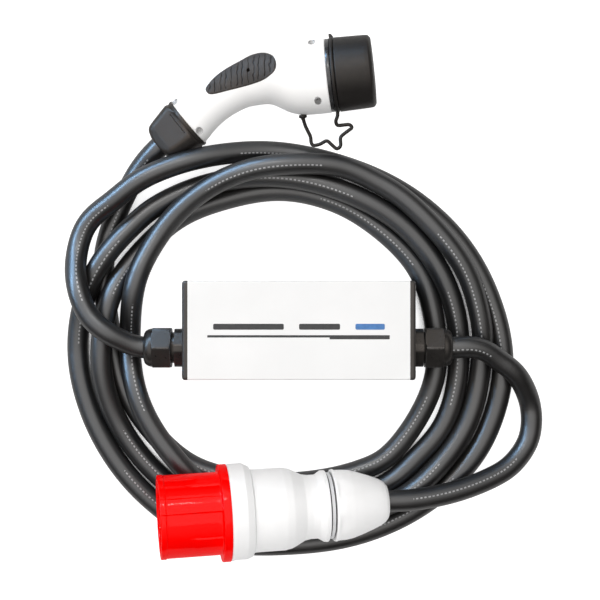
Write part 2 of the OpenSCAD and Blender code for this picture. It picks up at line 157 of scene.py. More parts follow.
def bumped(nt, p, height, distance, strength=1.0, before=None):
    b = nt.nodes.new("ShaderNodeBump")
    b.inputs["Strength"].default_value = strength
    b.inputs["Distance"].default_value = distance
    nt.links.new(height, b.inputs["Height"])
    if before is not None:
        nt.links.new(before, b.inputs["Normal"])
    nt.links.new(b.outputs[0], p.inputs["Normal"])
    return b.outputs[0]


def plastic(name, a, b, rough=(0.35, 0.5), grain=1500, depth=0.00002, cloud=60,
            coat=0.0, coat_rough=0.1, spec=0.5, metal=0.0, sheen=0.0, worn=None, ior=1.5,
            tint=(1, 1, 1)):
    """Moulded material: cloudy colour between a and b, fine grain, uneven gloss, worn edges."""
    m, nt, p = node_mat(name)
    col = mixed(nt, remap(nt, noise(nt, cloud, 4), 0.35, 0.65, 0, 1), a, b)
    if worn:
        geo = nt.nodes.new("ShaderNodeNewGeometry")
        edge = remap(nt, geo.outputs["Pointiness"], 0.53, 0.62, 0, 1)
        edge = maths(nt, "MULTIPLY", edge, remap(nt, noise(nt, 700, 5), 0.4, 0.65, 0, 1))
        col = mixed(nt, edge, col, worn)
    nt.links.new(col, p.inputs["Base Color"])
    r = remap(nt, noise(nt, cloud * 5, 5), 0.3, 0.7, rough[0], rough[1])
    nt.links.new(r, p.inputs["Roughness"])
    bumped(nt, p, noise(nt, grain, 3), depth)
    p.inputs["Metallic"].default_value = metal
    p.inputs["IOR"].default_value = ior
    p.inputs["Specular IOR Level"].default_value = spec
    p.inputs["Specular Tint"].default_value = (*tint, 1)
    p.inputs["Coat Weight"].default_value = coat
    p.inputs["Coat Roughness"].default_value = coat_rough
    p.inputs["Sheen Weight"].default_value = sheen
    return m


def brushed(name, a, b, rough=(0.25, 0.4), stretch=(1, 60, 60), scale=60, depth=0.00001):
    """Metal with fine lines along one axis."""
    m, nt, p = node_mat(name)
    n = noise(nt, scale, 4, stretch=stretch)
    nt.links.new(mixed(nt, remap(nt, n, 0.35, 0.65, 0, 1), a, b), p.inputs["Base Color"])
    nt.links.new(remap(nt, n, 0.3, 0.7, rough[0], rough[1]), p.inputs["Roughness"])
    bumped(nt, p, n, depth)
    p.inputs["Metallic"].default_value = 1.0
    return m


WARM = (1.0, 0.90, 0.82)  # takes the blue out of what black mouldings reflect
white_gun = plastic("gun_white", (0.93, 0.93, 0.925), (0.96, 0.96, 0.955), (0.36, 0.46), 2200, 0.00001, 30, spec=0.45)
white_plug = plastic("plug_white", (0.86, 0.865, 0.87), (0.895, 0.90, 0.905), (0.40, 0.52), 1800, 0.00002, 40, spec=0.4)
red = plastic("shroud_red", (0.95, 0.0005, 0.0003), (0.99, 0.0009, 0.0005), (0.16, 0.24), 1500, 0.00001, 50, spec=0.0,
              coat=0.28, coat_rough=0.07)
black_rubber = plastic("cap_rubber", (0.0080, 0.0073, 0.0069), (0.0112, 0.0103, 0.0098), (0.40, 0.52), 2600, 0.00003, 50,
                       spec=0.34, tint=WARM)
boot_rubber = plastic("boot_rubber", (0.0170, 0.0160, 0.0152), (0.0230, 0.0217, 0.0206), (0.38, 0.50), 2600, 0.00003, 50,
                      spec=0.44, tint=(1.0, 0.80, 0.66))
# dark seal rubber; also used as painted shade low in the plug seal's grooves
seal_rubber = plastic("seal_rubber", (0.022, 0.022, 0.022), (0.034, 0.034, 0.034), (0.40, 0.55), 2000, 0.00003, 60)
gland_black = plastic("gland_black", (0.011, 0.0105, 0.0102), (0.016, 0.0152, 0.0146), (0.26, 0.38), 1600, 0.00002, 60,
                      worn=(0.10, 0.10, 0.10), tint=WARM)
insert_black = plastic("insert_black", (0.016, 0.016, 0.017), (0.026, 0.026, 0.027), (0.22, 0.34), 1500, 0.00001, 60,
                       coat=0.3, coat_rough=0.15)
bezel_black = plastic("bezel_black", (0.020, 0.0190, 0.0181), (0.028, 0.0268, 0.0255), (0.36, 0.48), 2200, 0.00003, 70,
                      worn=(0.25, 0.25, 0.25), tint=WARM)
grey_plastic = plastic("module_grey", (0.18, 0.19, 0.20), (0.24, 0.25, 0.26), (0.4, 0.55), 1500, 0.00002, 60)
carrier_grey = plastic("plug_insert_grey", (0.58, 0.59, 0.60), (0.66, 0.67, 0.68), (0.38, 0.5), 1800, 0.00002, 50)
clamp_grey = plastic("clamp_grey", (0.26, 0.27, 0.28), (0.33, 0.34, 0.35), (0.4, 0.55), 1600, 0.00002, 60)
relay_black = plastic("relay_black", (0.020, 0.020, 0.022), (0.035, 0.035, 0.037), (0.3, 0.45), 1600, 0.00002, 60)
terminal_green = plastic("terminal_green", (0.02, 0.22, 0.06), (0.03, 0.30, 0.09), (0.35, 0.5), 1600, 0.00002, 60)
core_mat = plastic("core_insulation", (0.34, 0.14, 0.05), (0.44, 0.20, 0.07), (0.35, 0.5), 1600, 0.00002, 60)
steel = brushed("screw_steel", (0.34, 0.34, 0.34), (0.48, 0.48, 0.48), (0.40, 0.55), (1, 1, 1), 900, 0.00001)
plate_metal = brushed("end_plate", (0.55, 0.56, 0.57), (0.68, 0.69, 0.70), (0.28, 0.42), (60, 1, 60), 40)
pin_metal = brushed("pin_metal", (0.62, 0.57, 0.47), (0.74, 0.70, 0.60), (0.18, 0.30), (1, 40, 40), 60)
contact_metal = brushed("contact_metal", (0.64, 0.50, 0.26), (0.76, 0.62, 0.36), (0.22, 0.34), (1, 40, 40), 60)


def painted_aluminium():
    """White powder coat over a drawn tube: a fine orange peel, slightly cloudy, with faint scuffs."""
    m, nt, p = node_mat("aluminium_body")
    cloud = noise(nt, 18, 4)
    col = mixed(nt, remap(nt, cloud, 0.35, 0.65, 0, 1), (0.735, 0.742, 0.745), (0.765, 0.772, 0.775))
    scuff = remap(nt, noise(nt, 60, 8, 0.7, stretch=(0.2, 3, 3)), 0.66, 0.72, 0, 0.10)
    col = mixed(nt, scuff, col, (0.62, 0.63, 0.64))
    geo = nt.nodes.new("ShaderNodeNewGeometry")  # a stand-in for shade: the paint is mixed darker the more a surface faces sideways
    up = nt.nodes.new("ShaderNodeSeparateXYZ")
    nt.links.new(geo.outputs["Normal"], up.inputs[0])
    col = mixed(nt, remap(nt, maths(nt, "ABSOLUTE", up.outputs[2]), 0.05, 0.85, 0.36, 0.0), col, (0.20, 0.205, 0.21))
    nt.links.new(col, p.inputs["Base Color"])
    nt.links.new(remap(nt, noise(nt, 150, 4), 0.3, 0.7, 0.34, 0.46), p.inputs["Roughness"])
    bumped(nt, p, noise(nt, 900, 3), 0.00003)
    return m


def board_green():
    """Circuit board: green lacquer with lighter tracks in a grid and dull copper dots."""
    m, nt, p = node_mat("circuit_board")
    tc = nt.nodes.new("ShaderNodeTexCoord")
    br = nt.nodes.new("ShaderNodeTexBrick")
    br.inputs["Scale"].default_value = 160
    br.inputs["Mortar Size"].default_value = 0.05
    br.inputs["Color1"].default_value = (0.008, 0.10, 0.03, 1)
    br.inputs["Color2"].default_value = (0.012, 0.13, 0.04, 1)
    br.inputs["Mortar"].default_value = (0.03, 0.22, 0.07, 1)
    nt.links.new(tc.outputs["Object"], br.inputs["Vector"])
    vor = nt.nodes.new("ShaderNodeTexVoronoi")
    vor.inputs["Scale"].default_value = 260
    nt.links.new(tc.outputs["Object"], vor.inputs["Vector"])
    dot = remap(nt, vor.outputs["Distance"], 0.10, 0.16, 1, 0)
    nt.links.new(mixed(nt, dot, br.outputs["Color"], (0.45, 0.30, 0.12)), p.inputs["Base Color"])
    nt.links.new(remap(nt, noise(nt, 300), 0.3, 0.7, 0.25, 0.4), p.inputs["Roughness"])
    bumped(nt, p, br.outputs["Fac"], 0.00003)
    return m


def cable_sheath(name, offset):
    """Black rubber sheath: fine talc grain, long drawing marks, and a row of plain pale dashes
    where a real sheath carries its print."""
    m, nt, p = node_mat(name)
    uv = nt.nodes.new("ShaderNodeUVMap")
    uv.uv_map = "route"
    sep = nt.nodes.new("ShaderNodeSeparateXYZ")
    nt.links.new(uv.outputs[0], sep.inputs[0])
    u, v = sep.outputs[0], sep.outputs[1]
    u = maths(nt, "ADD", u, offset)
    # long marks along the cable and a cloudy bloom
    comb = nt.nodes.new("ShaderNodeCombineXYZ")
    nt.links.new(maths(nt, "MULTIPLY", u, 3.0), comb.inputs[0])
    nt.links.new(maths(nt, "SINE", maths(nt, "MULTIPLY", v, 2 * math.pi)), comb.inputs[1])
    nt.links.new(maths(nt, "COSINE", maths(nt, "MULTIPLY", v, 2 * math.pi)), comb.inputs[2])
    drawn = noise(nt, 9, 5, 0.6, coord=comb.outputs[0])
    cloud = noise(nt, 70, 4)
    col = mixed(nt, remap(nt, cloud, 0.35, 0.65, 0, 1), (0.0050, 0.0046, 0.0043), (0.0080, 0.0073, 0.0068))
    col = mixed(nt, remap(nt, drawn, 0.5, 0.75, 0, 0.4), col, (0.016, 0.015, 0.0145))
    # print: one row of short even dashes, in groups
    group = maths(nt, "FRACT", maths(nt, "DIVIDE", u, 0.21))
    in_group = maths(nt, "LESS_THAN", group, 0.46)
    row = maths(nt, "LESS_THAN", maths(nt, "ABSOLUTE", maths(nt, "SUBTRACT", v, 0.285)), 0.0105)
    dash = maths(nt, "LESS_THAN", maths(nt, "FRACT", maths(nt, "DIVIDE", u, 0.0034)), 0.52)
    mark = maths(nt, "MULTIPLY", maths(nt, "MULTIPLY", in_group, row), dash)
    mark = maths(nt, "MULTIPLY", mark, remap(nt, noise(nt, 1500, 2), 0.35, 0.6, 0.25, 0.65))
    nt.links.new(mixed(nt, mark, col, (0.50, 0.51, 0.52)), p.inputs["Base Color"])
    nt.links.new(remap(nt, drawn, 0.3, 0.7, 0.32, 0.42), p.inputs["Roughness"])
    bumped(nt, p, noise(nt, 1400, 3), 0.00002)
    p.inputs["Specular IOR Level"].default_value = 1.0
    return m


body_white = painted_aluminium()
board_mat = board_green()


# ------------------------------------------------------------ mesh helpers
def mesh_obj(name, verts, faces, material, angle=35, weld=0.0):
    """verts in metres, row frame."""
    me = bpy.data.meshes.new(name)
    me.from_pydata([tuple(map(float, v)) for v in verts], [], [tuple(int(i) for i in f) for f in faces])
    bm = bmesh.new()
    bm.from_mesh(me)
    if weld:
        bmesh.ops.remove_doubles(bm, verts=bm.verts, dist=weld)
    bmesh.ops.recalc_face_normals(bm, faces=bm.faces)
    bm.to_mesh(me)
    bm.free()
    me.shade_smooth()
    me.set_sharp_from_angle(angle=rad(angle))
    o = bpy.data.objects.new(name, me)
    scene.collection.objects.link(o)
    me.materials.append(material)
    return o


def placed(M, pts):
    """Local millimetres to row metres."""
    p = np.asarray(pts, float).reshape(-1, 3)
    R = np.array(M.to_3x3())
    t = np.array(M.translation)
    return (p @ R.T + t) * MM


def ring_faces(m, n, closed_rings=False):
    """Quads over m rings of n points, each ring closed."""
    f = []
    for i in range(m if closed_rings else m - 1):
        a, b = i * n, ((i + 1) % m) * n
        for k in range(n):
            q = (k + 1) % n
            f.append((a + k, a + q, b + q, b + k))
    return f


def rounded_line(pts, seg=4):
    """Closed outline of (x, r) or (x, r, fillet): each corner with a fillet becomes an arc."""
    P = [(p[0], p[1], p[2] if len(p) > 2 else 0.0) for p in pts]
    out = []
    n = len(P)
    for i in range(n):
        c = np.array(P[i][:2])
        a = np.array(P[i - 1][:2]) - c
        b = np.array(P[(i + 1) % n][:2]) - c
        la, lb = np.linalg.norm(a), np.linalg.norm(b)
        r = P[i][2]
        if r <= 0 or la < 1e-9 or lb < 1e-9:
            out.append(tuple(c))
            continue
        a, b = a / la, b / lb
        ang = math.acos(max(-1, min(1, float(a @ b))))
        if ang > math.pi - 0.02:
            out.append(tuple(c))
            continue
        d = min(r / math.tan(ang / 2), 0.48 * la, 0.48 * lb)
        p0, p1 = c + a * d, c + b * d
        for k in range(seg + 1):
            t = k / seg
            q = (1 - t) ** 2 * p0 + 2 * t * (1 - t) * c + t * t * p1
            out.append(tuple(q))
    return out


def split_long(line, step):
    """Adds points to an outline's sides that are longer than step."""
    out = []
    n = len(line)
    for i in range(n):
        a, b = np.array(line[i]), np.array(line[(i + 1) % n])
        k = max(1, int(np.linalg.norm(b - a) / step))
        for j in range(k):
            out.append(tuple(a + (b - a) * j / k))
    return out


def turned(name, M, line, material, n=96, shape=None, angle=35, step=None):
    """Revolves a closed outline of (x, r) about X. shape(x, r, t) returns the radius at angle t from +Y."""
    if step:
        line = split_long(line, step)
    T = 2 * math.pi * np.arange(n) / n
    pts = []
    for x, r in line:
        for t in T:
            q = shape(x, r, t) if shape else r
            q = max(q, 0.0)
            pts.append((x, q * math.cos(t), q * math.sin(t)))
    return mesh_obj(name, placed(M, pts), ring_faces(len(line), n, True), material, angle, weld=1e-7)


def smin(a, b, k):
    """Smooth minimum, with a blend of width k."""
    h = max(0.0, min(1.0, 0.5 + 0.5 * (b - a) / k))
    return b * (1 - h) + a * h - k * h * (1 - h)


def sstep(a, b, x):
    t = max(0.0, min(1.0, (x - a) / (b - a)))
    return t * t * (3 - 2 * t)


def flats(r, t, af, k=0.6, turn=0.0, sides=6):
    """Radius r cut by a regular prism of that size across flats."""
    w = 2 * math.pi / sides
    a = (t - turn + w / 2) % w - w / 2
    return smin(r, af / 2 / math.cos(a), k)


def rounded_copy(name, node, width, material, segments=2, angle=30, share=None):
    """A CAD node's shape with its sharp edges broken by a small radius; share(point, low, high)
    gives the part of the width that an edge gets."""
    src = nodes[node]
    me = src.data.copy()
    me.name = name
    o = bpy.data.objects.new(name, me)
    scene.collection.objects.link(o)
    bm = bmesh.new()
    bm.from_mesh(me)
    bmesh.ops.remove_doubles(bm, verts=bm.verts, dist=1e-6)
    bmesh.ops.dissolve_limit(bm, angle_limit=rad(1), verts=bm.verts, edges=bm.edges)
    if share:
        low = Vector([min(v.co[i] for v in bm.verts) for i in range(3)])
        high = Vector([max(v.co[i] for v in bm.verts) for i in range(3)])
        weight = bm.edges.layers.float.new("bevel_weight_edge")
        for e in bm.edges:
            if len(e.link_faces) == 2 and e.calc_face_angle(0) > rad(angle):
                e[weight] = share((e.verts[0].co + e.verts[1].co) / 2, low, high)
    bm.to_mesh(me)
    bm.free()
    mod = o.modifiers.new("edge", "BEVEL")
    mod.width = width * MM
    mod.segments = segments
    mod.limit_method = "WEIGHT" if share else "ANGLE"
    mod.angle_limit = rad(angle)
    mod.use_clamp_overlap = not share
    deps = bpy.context.evaluated_depsgraph_get()
    new = bpy.data.meshes.new_from_object(o.evaluated_get(deps))
    o.modifiers.clear()
    o.data = new
    new.name = name
    new.shade_smooth()
    new.set_sharp_from_angle(angle=rad(32))
    new.materials.clear()
    new.materials.append(material)
    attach(o, nodes[node]["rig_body"])
    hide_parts(node)
    return o


def cut_by(obj, cutters):
    """Boolean difference, applied."""
    for c in cutters:
        mod = obj.modifiers.new("cut", "BOOLEAN")
        mod.operation = "DIFFERENCE"
        mod.solver = "EXACT"
        mod.object = c
        deps = bpy.context.evaluated_depsgraph_get()
        new = bpy.data.meshes.new_from_object(obj.evaluated_get(deps))
        obj.modifiers.clear()
        old = obj.data
        obj.data = new
        bpy.data.meshes.remove(old)
    for c in cutters:
        bpy.data.objects.remove(c)
    obj.data.shade_smooth()
    obj.data.set_sharp_from_angle(angle=rad(32))


# ------------------------------------------------------------------- cables
def cubic_route(P, end0=None, end1=None, n=24):
    """Smooth curve with continuous bend through the points, straight at both ends."""
    P = np.asarray(P, float)
    N = len(P)
    h = np.linalg.norm(np.diff(P, axis=0), axis=1) ** 0.5 * 6
    A = np.zeros((N, N))
    R = np.zeros((N, 3))
    d0 = (P[1] - P[0]) / h[0]
    d1 = (P[-1] - P[-2]) / h[-1]
    A[0, 0], A[0, 1] = 2 * h[0], h[0]
    A[-1, -1], A[-1, -2] = 2 * h[-1], h[-1]
    R[0] = 6 * ((P[1] - P[0]) / h[0] - d0)
    R[-1] = 6 * (d1 - (P[-1] - P[-2]) / h[-1])
    for i in range(1, N - 1):
        A[i, i - 1], A[i, i], A[i, i + 1] = h[i - 1], 2 * (h[i - 1] + h[i]), h[i]
        R[i] = 6 * ((P[i + 1] - P[i]) / h[i] - (P[i] - P[i - 1]) / h[i - 1])
    S = np.linalg.solve(A, R)
    out = []
    for i in range(N - 1):
        for k in range(n):
            t = h[i] * k / n
            u = h[i] - t
            out.append(S[i] * u ** 3 / (6 * h[i]) + S[i + 1] * t ** 3 / (6 * h[i])
                       + (P[i] / h[i] - S[i] * h[i] / 6) * u + (P[i + 1] / h[i] - S[i + 1] * h[i] / 6) * t)
    out.append(P[-1])
    return np.array(out)


def even(path, step):
    """Points every step along a path."""
    s = np.concatenate([[0], np.cumsum(np.linalg.norm(np.diff(path, axis=0), axis=1))])
    n = max(2, int(round(s[-1] / step)))
    t = np.linspace(0, s[-1], n + 1)
    return np.stack([np.interp(t, s, path[:, i]) for i in range(3)], 1), s[-1]


def frames(path):
    tan = np.gradient(path, axis=0)
    tan /= np.linalg.norm(tan, axis=1)[:, None]
    side = np.cross([0, 0, 1.0], tan)
    side /= np.linalg.norm(side, axis=1)[:, None]
    up = np.cross(tan, side)
    return tan, side, up


def tube(name, path, r, material, n=28, uv="route", rounded_ends=False):
    """Round tube along a path in row metres, with a map of (length along, turn round)."""
    tan, side, up = frames(path)
    T = 2 * math.pi * np.arange(n) / n
    rings = path[:, None, :] + r * (np.cos(T)[None, :, None] * side[:, None, :] + np.sin(T)[None, :, None] * up[:, None, :])
    m = len(path)
    verts = rings.reshape(-1, 3)
    faces = ring_faces(m, n) + [tuple(range(n)), tuple((m - 1) * n + k for k in range(n))[::-1]]
    me = bpy.data.meshes.new(name)
    me.from_pydata([tuple(v) for v in verts], [], faces)
    s = np.concatenate([[0], np.cumsum(np.linalg.norm(np.diff(path, axis=0), axis=1))])
    layer = me.uv_layers.new(name=uv)
    uvs = np.zeros((len(me.loops), 2), np.float32)
    quads = (m - 1) * n
    idx = np.arange(quads)
    i, k = idx // n, idx % n
    for c, (di, dk) in enumerate(((0, 0), (0, 1), (1, 1), (1, 0))):
        uvs[idx * 4 + c, 0] = s[i + di]
        uvs[idx * 4 + c, 1] = (k + dk) / n
    layer.data.foreach_set("uv", uvs.ravel())
    me.shade_smooth()
    bm = bmesh.new()
    bm.from_mesh(me)
    bmesh.ops.recalc_face_normals(bm, faces=bm.faces)
    bm.to_mesh(me)
    bm.free()
    me.set_sharp_from_angle(angle=rad(50))
    o = bpy.data.objects.new(name, me)
    scene.collection.objects.link(o)
    me.materials.append(material)
    return o


long_route = [
    (-85, 172, 22), (-114, 149, 19), (-131, 131, 11), (-142, 112, 9), (-156, 79, 9),
    (-161, 44, 9), (-157, 7, 9), (-149, -34, 9), (-128, -75, 9), (-98, -106, 9),
    (-70, -119.5, 9), (-20, -127, 9), (30, -122, 9), (54, -115, 9), (75, -103, 9),
    (107, -55, 9), (113.5, -13, 9), (105.5, 32, 9), (87.5, 63, 9), (52, 93, 9),
    (20, 108, 9), (-18, 114, 9), (-60, 107, 9), (-96, 93, 9), (-121, 73, 9),
    (-141, 49, 17), (-154, 23, 26), (-160, -8, 26), (-160, -38, 22), (-149, -75, 13.5),
    (-121, -115, 9), (-88, -143.5, 9), (-70, -155.5, 9), (-20, -161, 11), (14, -160, 14),
    (45, -153.5, 12.5), (75, -142.5, 18), (101, -125.5, 17), (139, -76, 11), (150, -25, 12),
    (150, -3, 18), (142, 32, 23), (125, 64, 27), (86, 105, 28), (62, 120, 29),
    (35, 131, 33), (-7, 133, 40), (-41, 128, 40), (-72, 115, 34), (-97, 96, 28),
    (-115, 74, 27), (-129, 47, 32), (-135, 24, 29), (-138, -4, 18), (-134, -44, 24),
    (-115, -86, 27), (-86, -121.5, 24), (-66, -139, 12), (-20, -144, 9), (45, -136.5, 9),
    (75, -126, 9), (97.5, -105.5, 9), (120.5, -76, 9), (132, -20, 9), (121, 36, 15),
    (86, 84, 20), (42, 110, 24), (1, 122, 25), (-40, 124, 22), (-86, 115, 16),
    (-119, 99, 17), (-134, 86, 21), (-152, 66, 27), (-166, 45, 26), (-176, 22, 17),
    (-182, -17, 9), (-170, -72, 9), (-142, -119.5, 9), (-111.5, -149, 9), (-70, -173, 9),
    (-11, -177.5, 9), (45, -170, 9), (99, -146.5, 9), (137, -113.5, 9), (157, -80.5, 9),
    (168, -30, 9), (158, 23, 9), (131, 72, 9), (84, 113, 9), (30, 136, 9),
    (-27, 145.5, 14), (-82.5, 138, 31), (-110, 129, 35), (-131, 118.5, 36), (-151, 103.5, 32),
    (-171.5, 86, 26), (-180, 60, 29), (-178, 36, 40), (-169, 13, 44), (-155, -1, 45),
    (-141, -9, 41), (-124, -14.5, 37), (-78, -14.5, 37),
]
short_route = [
    (78, -14.5, 37), (124, -14.5, 37), (137, -14, 36), (150, -17, 33), (162, -25, 29),
    (175, -35, 25), (186, -51, 15), (191, -66, 9), (191, -83, 9), (186, -97, 11),
    (174, -111, 16), (159, -120, 21), (127, -131, 30), (90, -137, 38), (72, -137.5, 40.5),
    (50, -138.5, 44),
]
CABLE_R = 8.75


def cable(name, route, offset):
    path = cubic_route(route)
    path, _ = even(path, 3.8)
    path[:, 2] = np.maximum(path[:, 2], 8.85)
    path, length = even(path, 3.8)
    o = tube(name, path * MM, CABLE_R * MM, cable_sheath(name + "_sheath", offset))
    return o, path * MM, length * MM


long_cable, long_path, long_length = cable("cable_long", long_route[::-1], 0.10)
short_cable, short_path, short_length = cable("cable_short", short_route, 0.02)
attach(long_cable, "root")
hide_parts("long_cable")
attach(short_cable, "root")
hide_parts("short_cable")

GUN = (Matrix.Translation((23.9, 205, 32.4)) @ Matrix.Rotation(rad(20), 4, "Z")
       @ Matrix.Rotation(rad(-5.1), 4, "Y") @ Matrix.Rotation(rad(-14.5), 4, "Z"))
PLUG = (Matrix.Translation((-62.4, -144.2, 60.6)) @ Matrix.Rotation(rad(2.8), 4, "Z")
        @ Matrix.Rotation(rad(8.5), 4, "Y"))
BOOT = GUN @ Matrix.Translation((-118.9, -26.7, 0)) @ Matrix.Rotation(rad(214), 4, "Z")
GLAND_L = Matrix.Translation((0, -14.5, 37)) @ Matrix.Rotation(math.pi, 4, "Z")
GLAND_R = Matrix.Translation((0, -14.5, 37))

# ------------------------------------------------------------- supply plug
RIBS = [(69.5, 6.0, 1.5, -60, 30), (-60, 5.0, 1.2, -22, 30)]   # angle, half width mm, height, from x, to x


def shroud_shape(x, r, t):
    if r < 30.5:
        return r
    d = 0.0
    for a, hw, h, x0, x1 in RIBS:
        w = abs((math.degrees(t) - a + 180) % 360 - 180) * math.pi / 180 * 32.5
        if r < 34:
            d = max(d, h * (1 - sstep(hw - 0.5, hw + 0.15, w)) * sstep(x0 - 0.4, x0 + 0.4, x))
    # flats that the moulding has on the side that faces up and away
    if r < 34 and -44 < x < -0.2:
        for a, hw in ((28, 7.0), (128, 7.0)):
            w = abs((math.degrees(t) - a + 180) % 360 - 180) * math.pi / 180 * 32.5
            d = max(d, 0.8 * (1 - sstep(hw - 0.6, hw + 0.3, w)) * sstep(-23.0, -22.2, x))
    # notch in the flange's rim
    if r > 36:
        w = abs((math.degrees(t) - 176 + 180) % 360 - 180) * math.pi / 180 * 38
        d -= 1.6 * (1 - sstep(2.0, 2.6, w)) * sstep(1.2, 1.8, x)
    return r + d


shroud_line = rounded_line([
    (-48, 33.1, 0.8), (-43.8, 33.1, 0.35), (-43.4, 32.5, 0.3), (-0.2, 32.5, 1.2), (0, 38.3, 0.9), (6.5, 38.3, 0.5),
    (6.5, 29.5), (-46.8, 29.5, 0.3), (-47.4, 30.2, 0.5), (-48, 30.6, 0.6)], 4)
shroud = turned("plug_shroud_visual", PLUG, shroud_line, red, 360, shroud_shape, 30, step=3)
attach(shroud, "root")
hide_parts("plug_shroud")


def body_shape(x, r, t):
    a = math.degrees(t) % 360
    low = 1 if 168 < a < 350 else 0
    if low and 27 < x < 66 and 24 < r:
        m = min(sstep(168, 176, a), 1 - sstep(335, 350, a)) * sstep(27, 29, x) * (1 - sstep(62, 66, x))
        r -= 0.60 * m * (0.5 + 0.5 * math.cos(2 * math.pi * x / 2.9)) ** 2
    # long soft flats on the neck, where the mould's slides met
    if 50 < x < 84 and r > 24:
        r = smin(r, (r + 0.35) / max(0.3, math.cos((t - rad(-70) + math.pi) % (2 * math.pi) - math.pi)) if
                 abs((t - rad(-70) + math.pi) % (2 * math.pi) - math.pi) < 0.6 else r + 5, 0.4)
    # collar: cut flat on one side, and a shallow thumb groove below
    if 8 < x < 25.1 and r > 32.7 and 120 < a < 240:
        r = r + (smin(r, 35.7 / max(0.2, -math.cos(t)), 0.5) - r) * sstep(8.6, 9.6, x)
    if x < 24 and r > 36:
        r -= 0.9 * (1 - sstep(0.10, 0.16, abs((t - rad(-90) + math.pi) % (2 * math.pi) - math.pi)))
    return r


body_line = rounded_line([
    (6.6, 29.5), (6.6, 37.9, 0.6), (9.5, 38.2, 1.0), (18.8, 38.2, 1.5), (24.2, 35.3, 1.0), (25.2, 32.9, 0.5), (27.5, 32.6, 1.0),
    (50, 32.6, 6), (56, 31.4, 6), (62, 28.4, 5), (66, 26.2, 4), (71, 25.3, 3), (77, 25.3, 2.5), (80.6, 27.6, 1.6),
    (81.8, 28.3, 0.8), (85, 28.3, 0.8), (85, 21.5), (60, 21.5, 2), (52, 28, 2), (48, 29.5, 1)], 5)
body = turned("plug_body_visual", PLUG, body_line, white_plug, 180, body_shape, 30, step=0.55)
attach(body, "root")
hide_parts("plug_body")


def nut_shape(x, r, t):
    if r < 8.95 or x < 91.2:
        return r
    inner = nut_inner(x)
    if inner is not None and r <= inner + 0.3:
        return r
    k = sstep(91.2, 93.5, x)
    # six flats that lean in towards the cable, meeting in soft ridges
    af = 55.2 - 1.0 * max(0, x - 100) / 10 - 1.3 * max(0, x - 112) / 10
    q = flats(r, t, af, 0.9, turn=rad(90 - 34), sides=6)
    return r * (1 - k) + q * k


def nut_inner(x):
    if x <= 98:
        return 22.0
    if x <= 116:
        return 22 - (x - 98) * 8 / 18
    return 8.9


nut_line = rounded_line([
    (89.7, 22), (89.7, 28.1, 0.5), (90.6, 28.55, 0.6), (91.6, 28.7, 0.5), (97, 28.5, 3), (104, 27.2, 6), (112, 24.8, 6), (121, 21.6, 6),
    (128, 18.6, 5), (131.8, 16.4, 2.6), (134.3, 13.6, 1.6), (134.6, 9.4, 0.4), (133.6, 8.95, 0.3), (116, 8.95), (115.9, 14), (98, 22)], 5)
nut = turned("plug_nut_visual", PLUG, nut_line, white_plug, 180, nut_shape, 30, step=0.9)
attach(nut, "root")
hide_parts("plug_nut")
seal_grey = plastic("seal_light", (0.60, 0.61, 0.62), (0.68, 0.69, 0.70), (0.42, 0.55), 2000, 0.00002, 60)
seal_line = rounded_line([
    (85.05, 8.95), (85.05, 23.6), (85.95, 23.6, 0.1), (86.0, 26.35, 0.3), (88.6, 26.35, 0.3), (88.65, 23.6, 0.1),
    (89.55, 23.6), (89.55, 8.95)], 3)
seal = turned("plug_seal_visual", PLUG, seal_line, seal_grey, 144, None, 30)
# painted shade: faces below 25 mm radius, low in the narrow grooves either side of the seal's rim, take the dark seal
# rubber
seal.data.materials.append(seal_rubber)
plug_back = PLUG.inverted()
for q in seal.data.polygons:
    c = plug_back @ (q.center / MM)
    if math.hypot(c.y, c.z) < 25.0:
        q.material_index = 1
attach(seal, "root")
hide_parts("plug_seal")
insert = rounded_copy("plug_insert_visual", "plug_insert", 0.5, carrier_grey)

# -------------------------------------------------------- vehicle connector
gun_s = np.array([
    [0, 0, 29.8, 30.2, 0], [-12, 0, 29.8, 30.2, 0], [-24, 0.4, 29.5, 30, 0], [-34, 2, 28, 29.2, 0],
    [-42, 4.2, 25.6, 27.4, 0], [-50, 5.6, 23.6, 25, 2], [-62, 4.7, 22.5, 22.5, 8], [-76, 1.5, 21.4, 21, 19],
    [-92, -6, 20.5, 20.3, 30], [-105.5, -15.5, 19.9, 20, 36], [-118.9, -26.7, 21.2, 20.5, 34]])


def smooth_rows(rows, n):
    """Monotone-ish smooth interpolation of the sections by their own index."""
    N = len(rows)
    m = np.zeros_like(rows)
    m[1:-1] = (rows[2:] - rows[:-2]) / 2
    m[0] = rows[1] - rows[0]
    m[-1] = rows[-1] - rows[-2]
    out = []
    for i in range(N - 1):
        for k in range(n):
            t = k / n
            h = (2 * t ** 3 - 3 * t ** 2 + 1, t ** 3 - 2 * t ** 2 + t, -2 * t ** 3 + 3 * t ** 2, t ** 3 - t ** 2)
            out.append(h[0] * rows[i] + h[1] * m[i] + h[2] * rows[i + 1] + h[3] * m[i + 1])
    out.append(rows[-1])
    return np.array(out)


sections = smooth_rows(gun_s, 10)


def gun_pt(g, t, o, s):
    a = rad(g[4])
    return (g[0] - math.sin(a) * (g[2] + o) * math.cos(t), g[1] + math.cos(a) * (g[2] + o) * math.cos(t),
            s * (g[3] + o) * math.sin(t))


gun_screw_at = [(-10.2, 26.3, 7, 4), (-9.3, -21.5, 12, 5), (-106.9, -34.6, 11, 8), (-125.6, -9, 6, 1.5)]


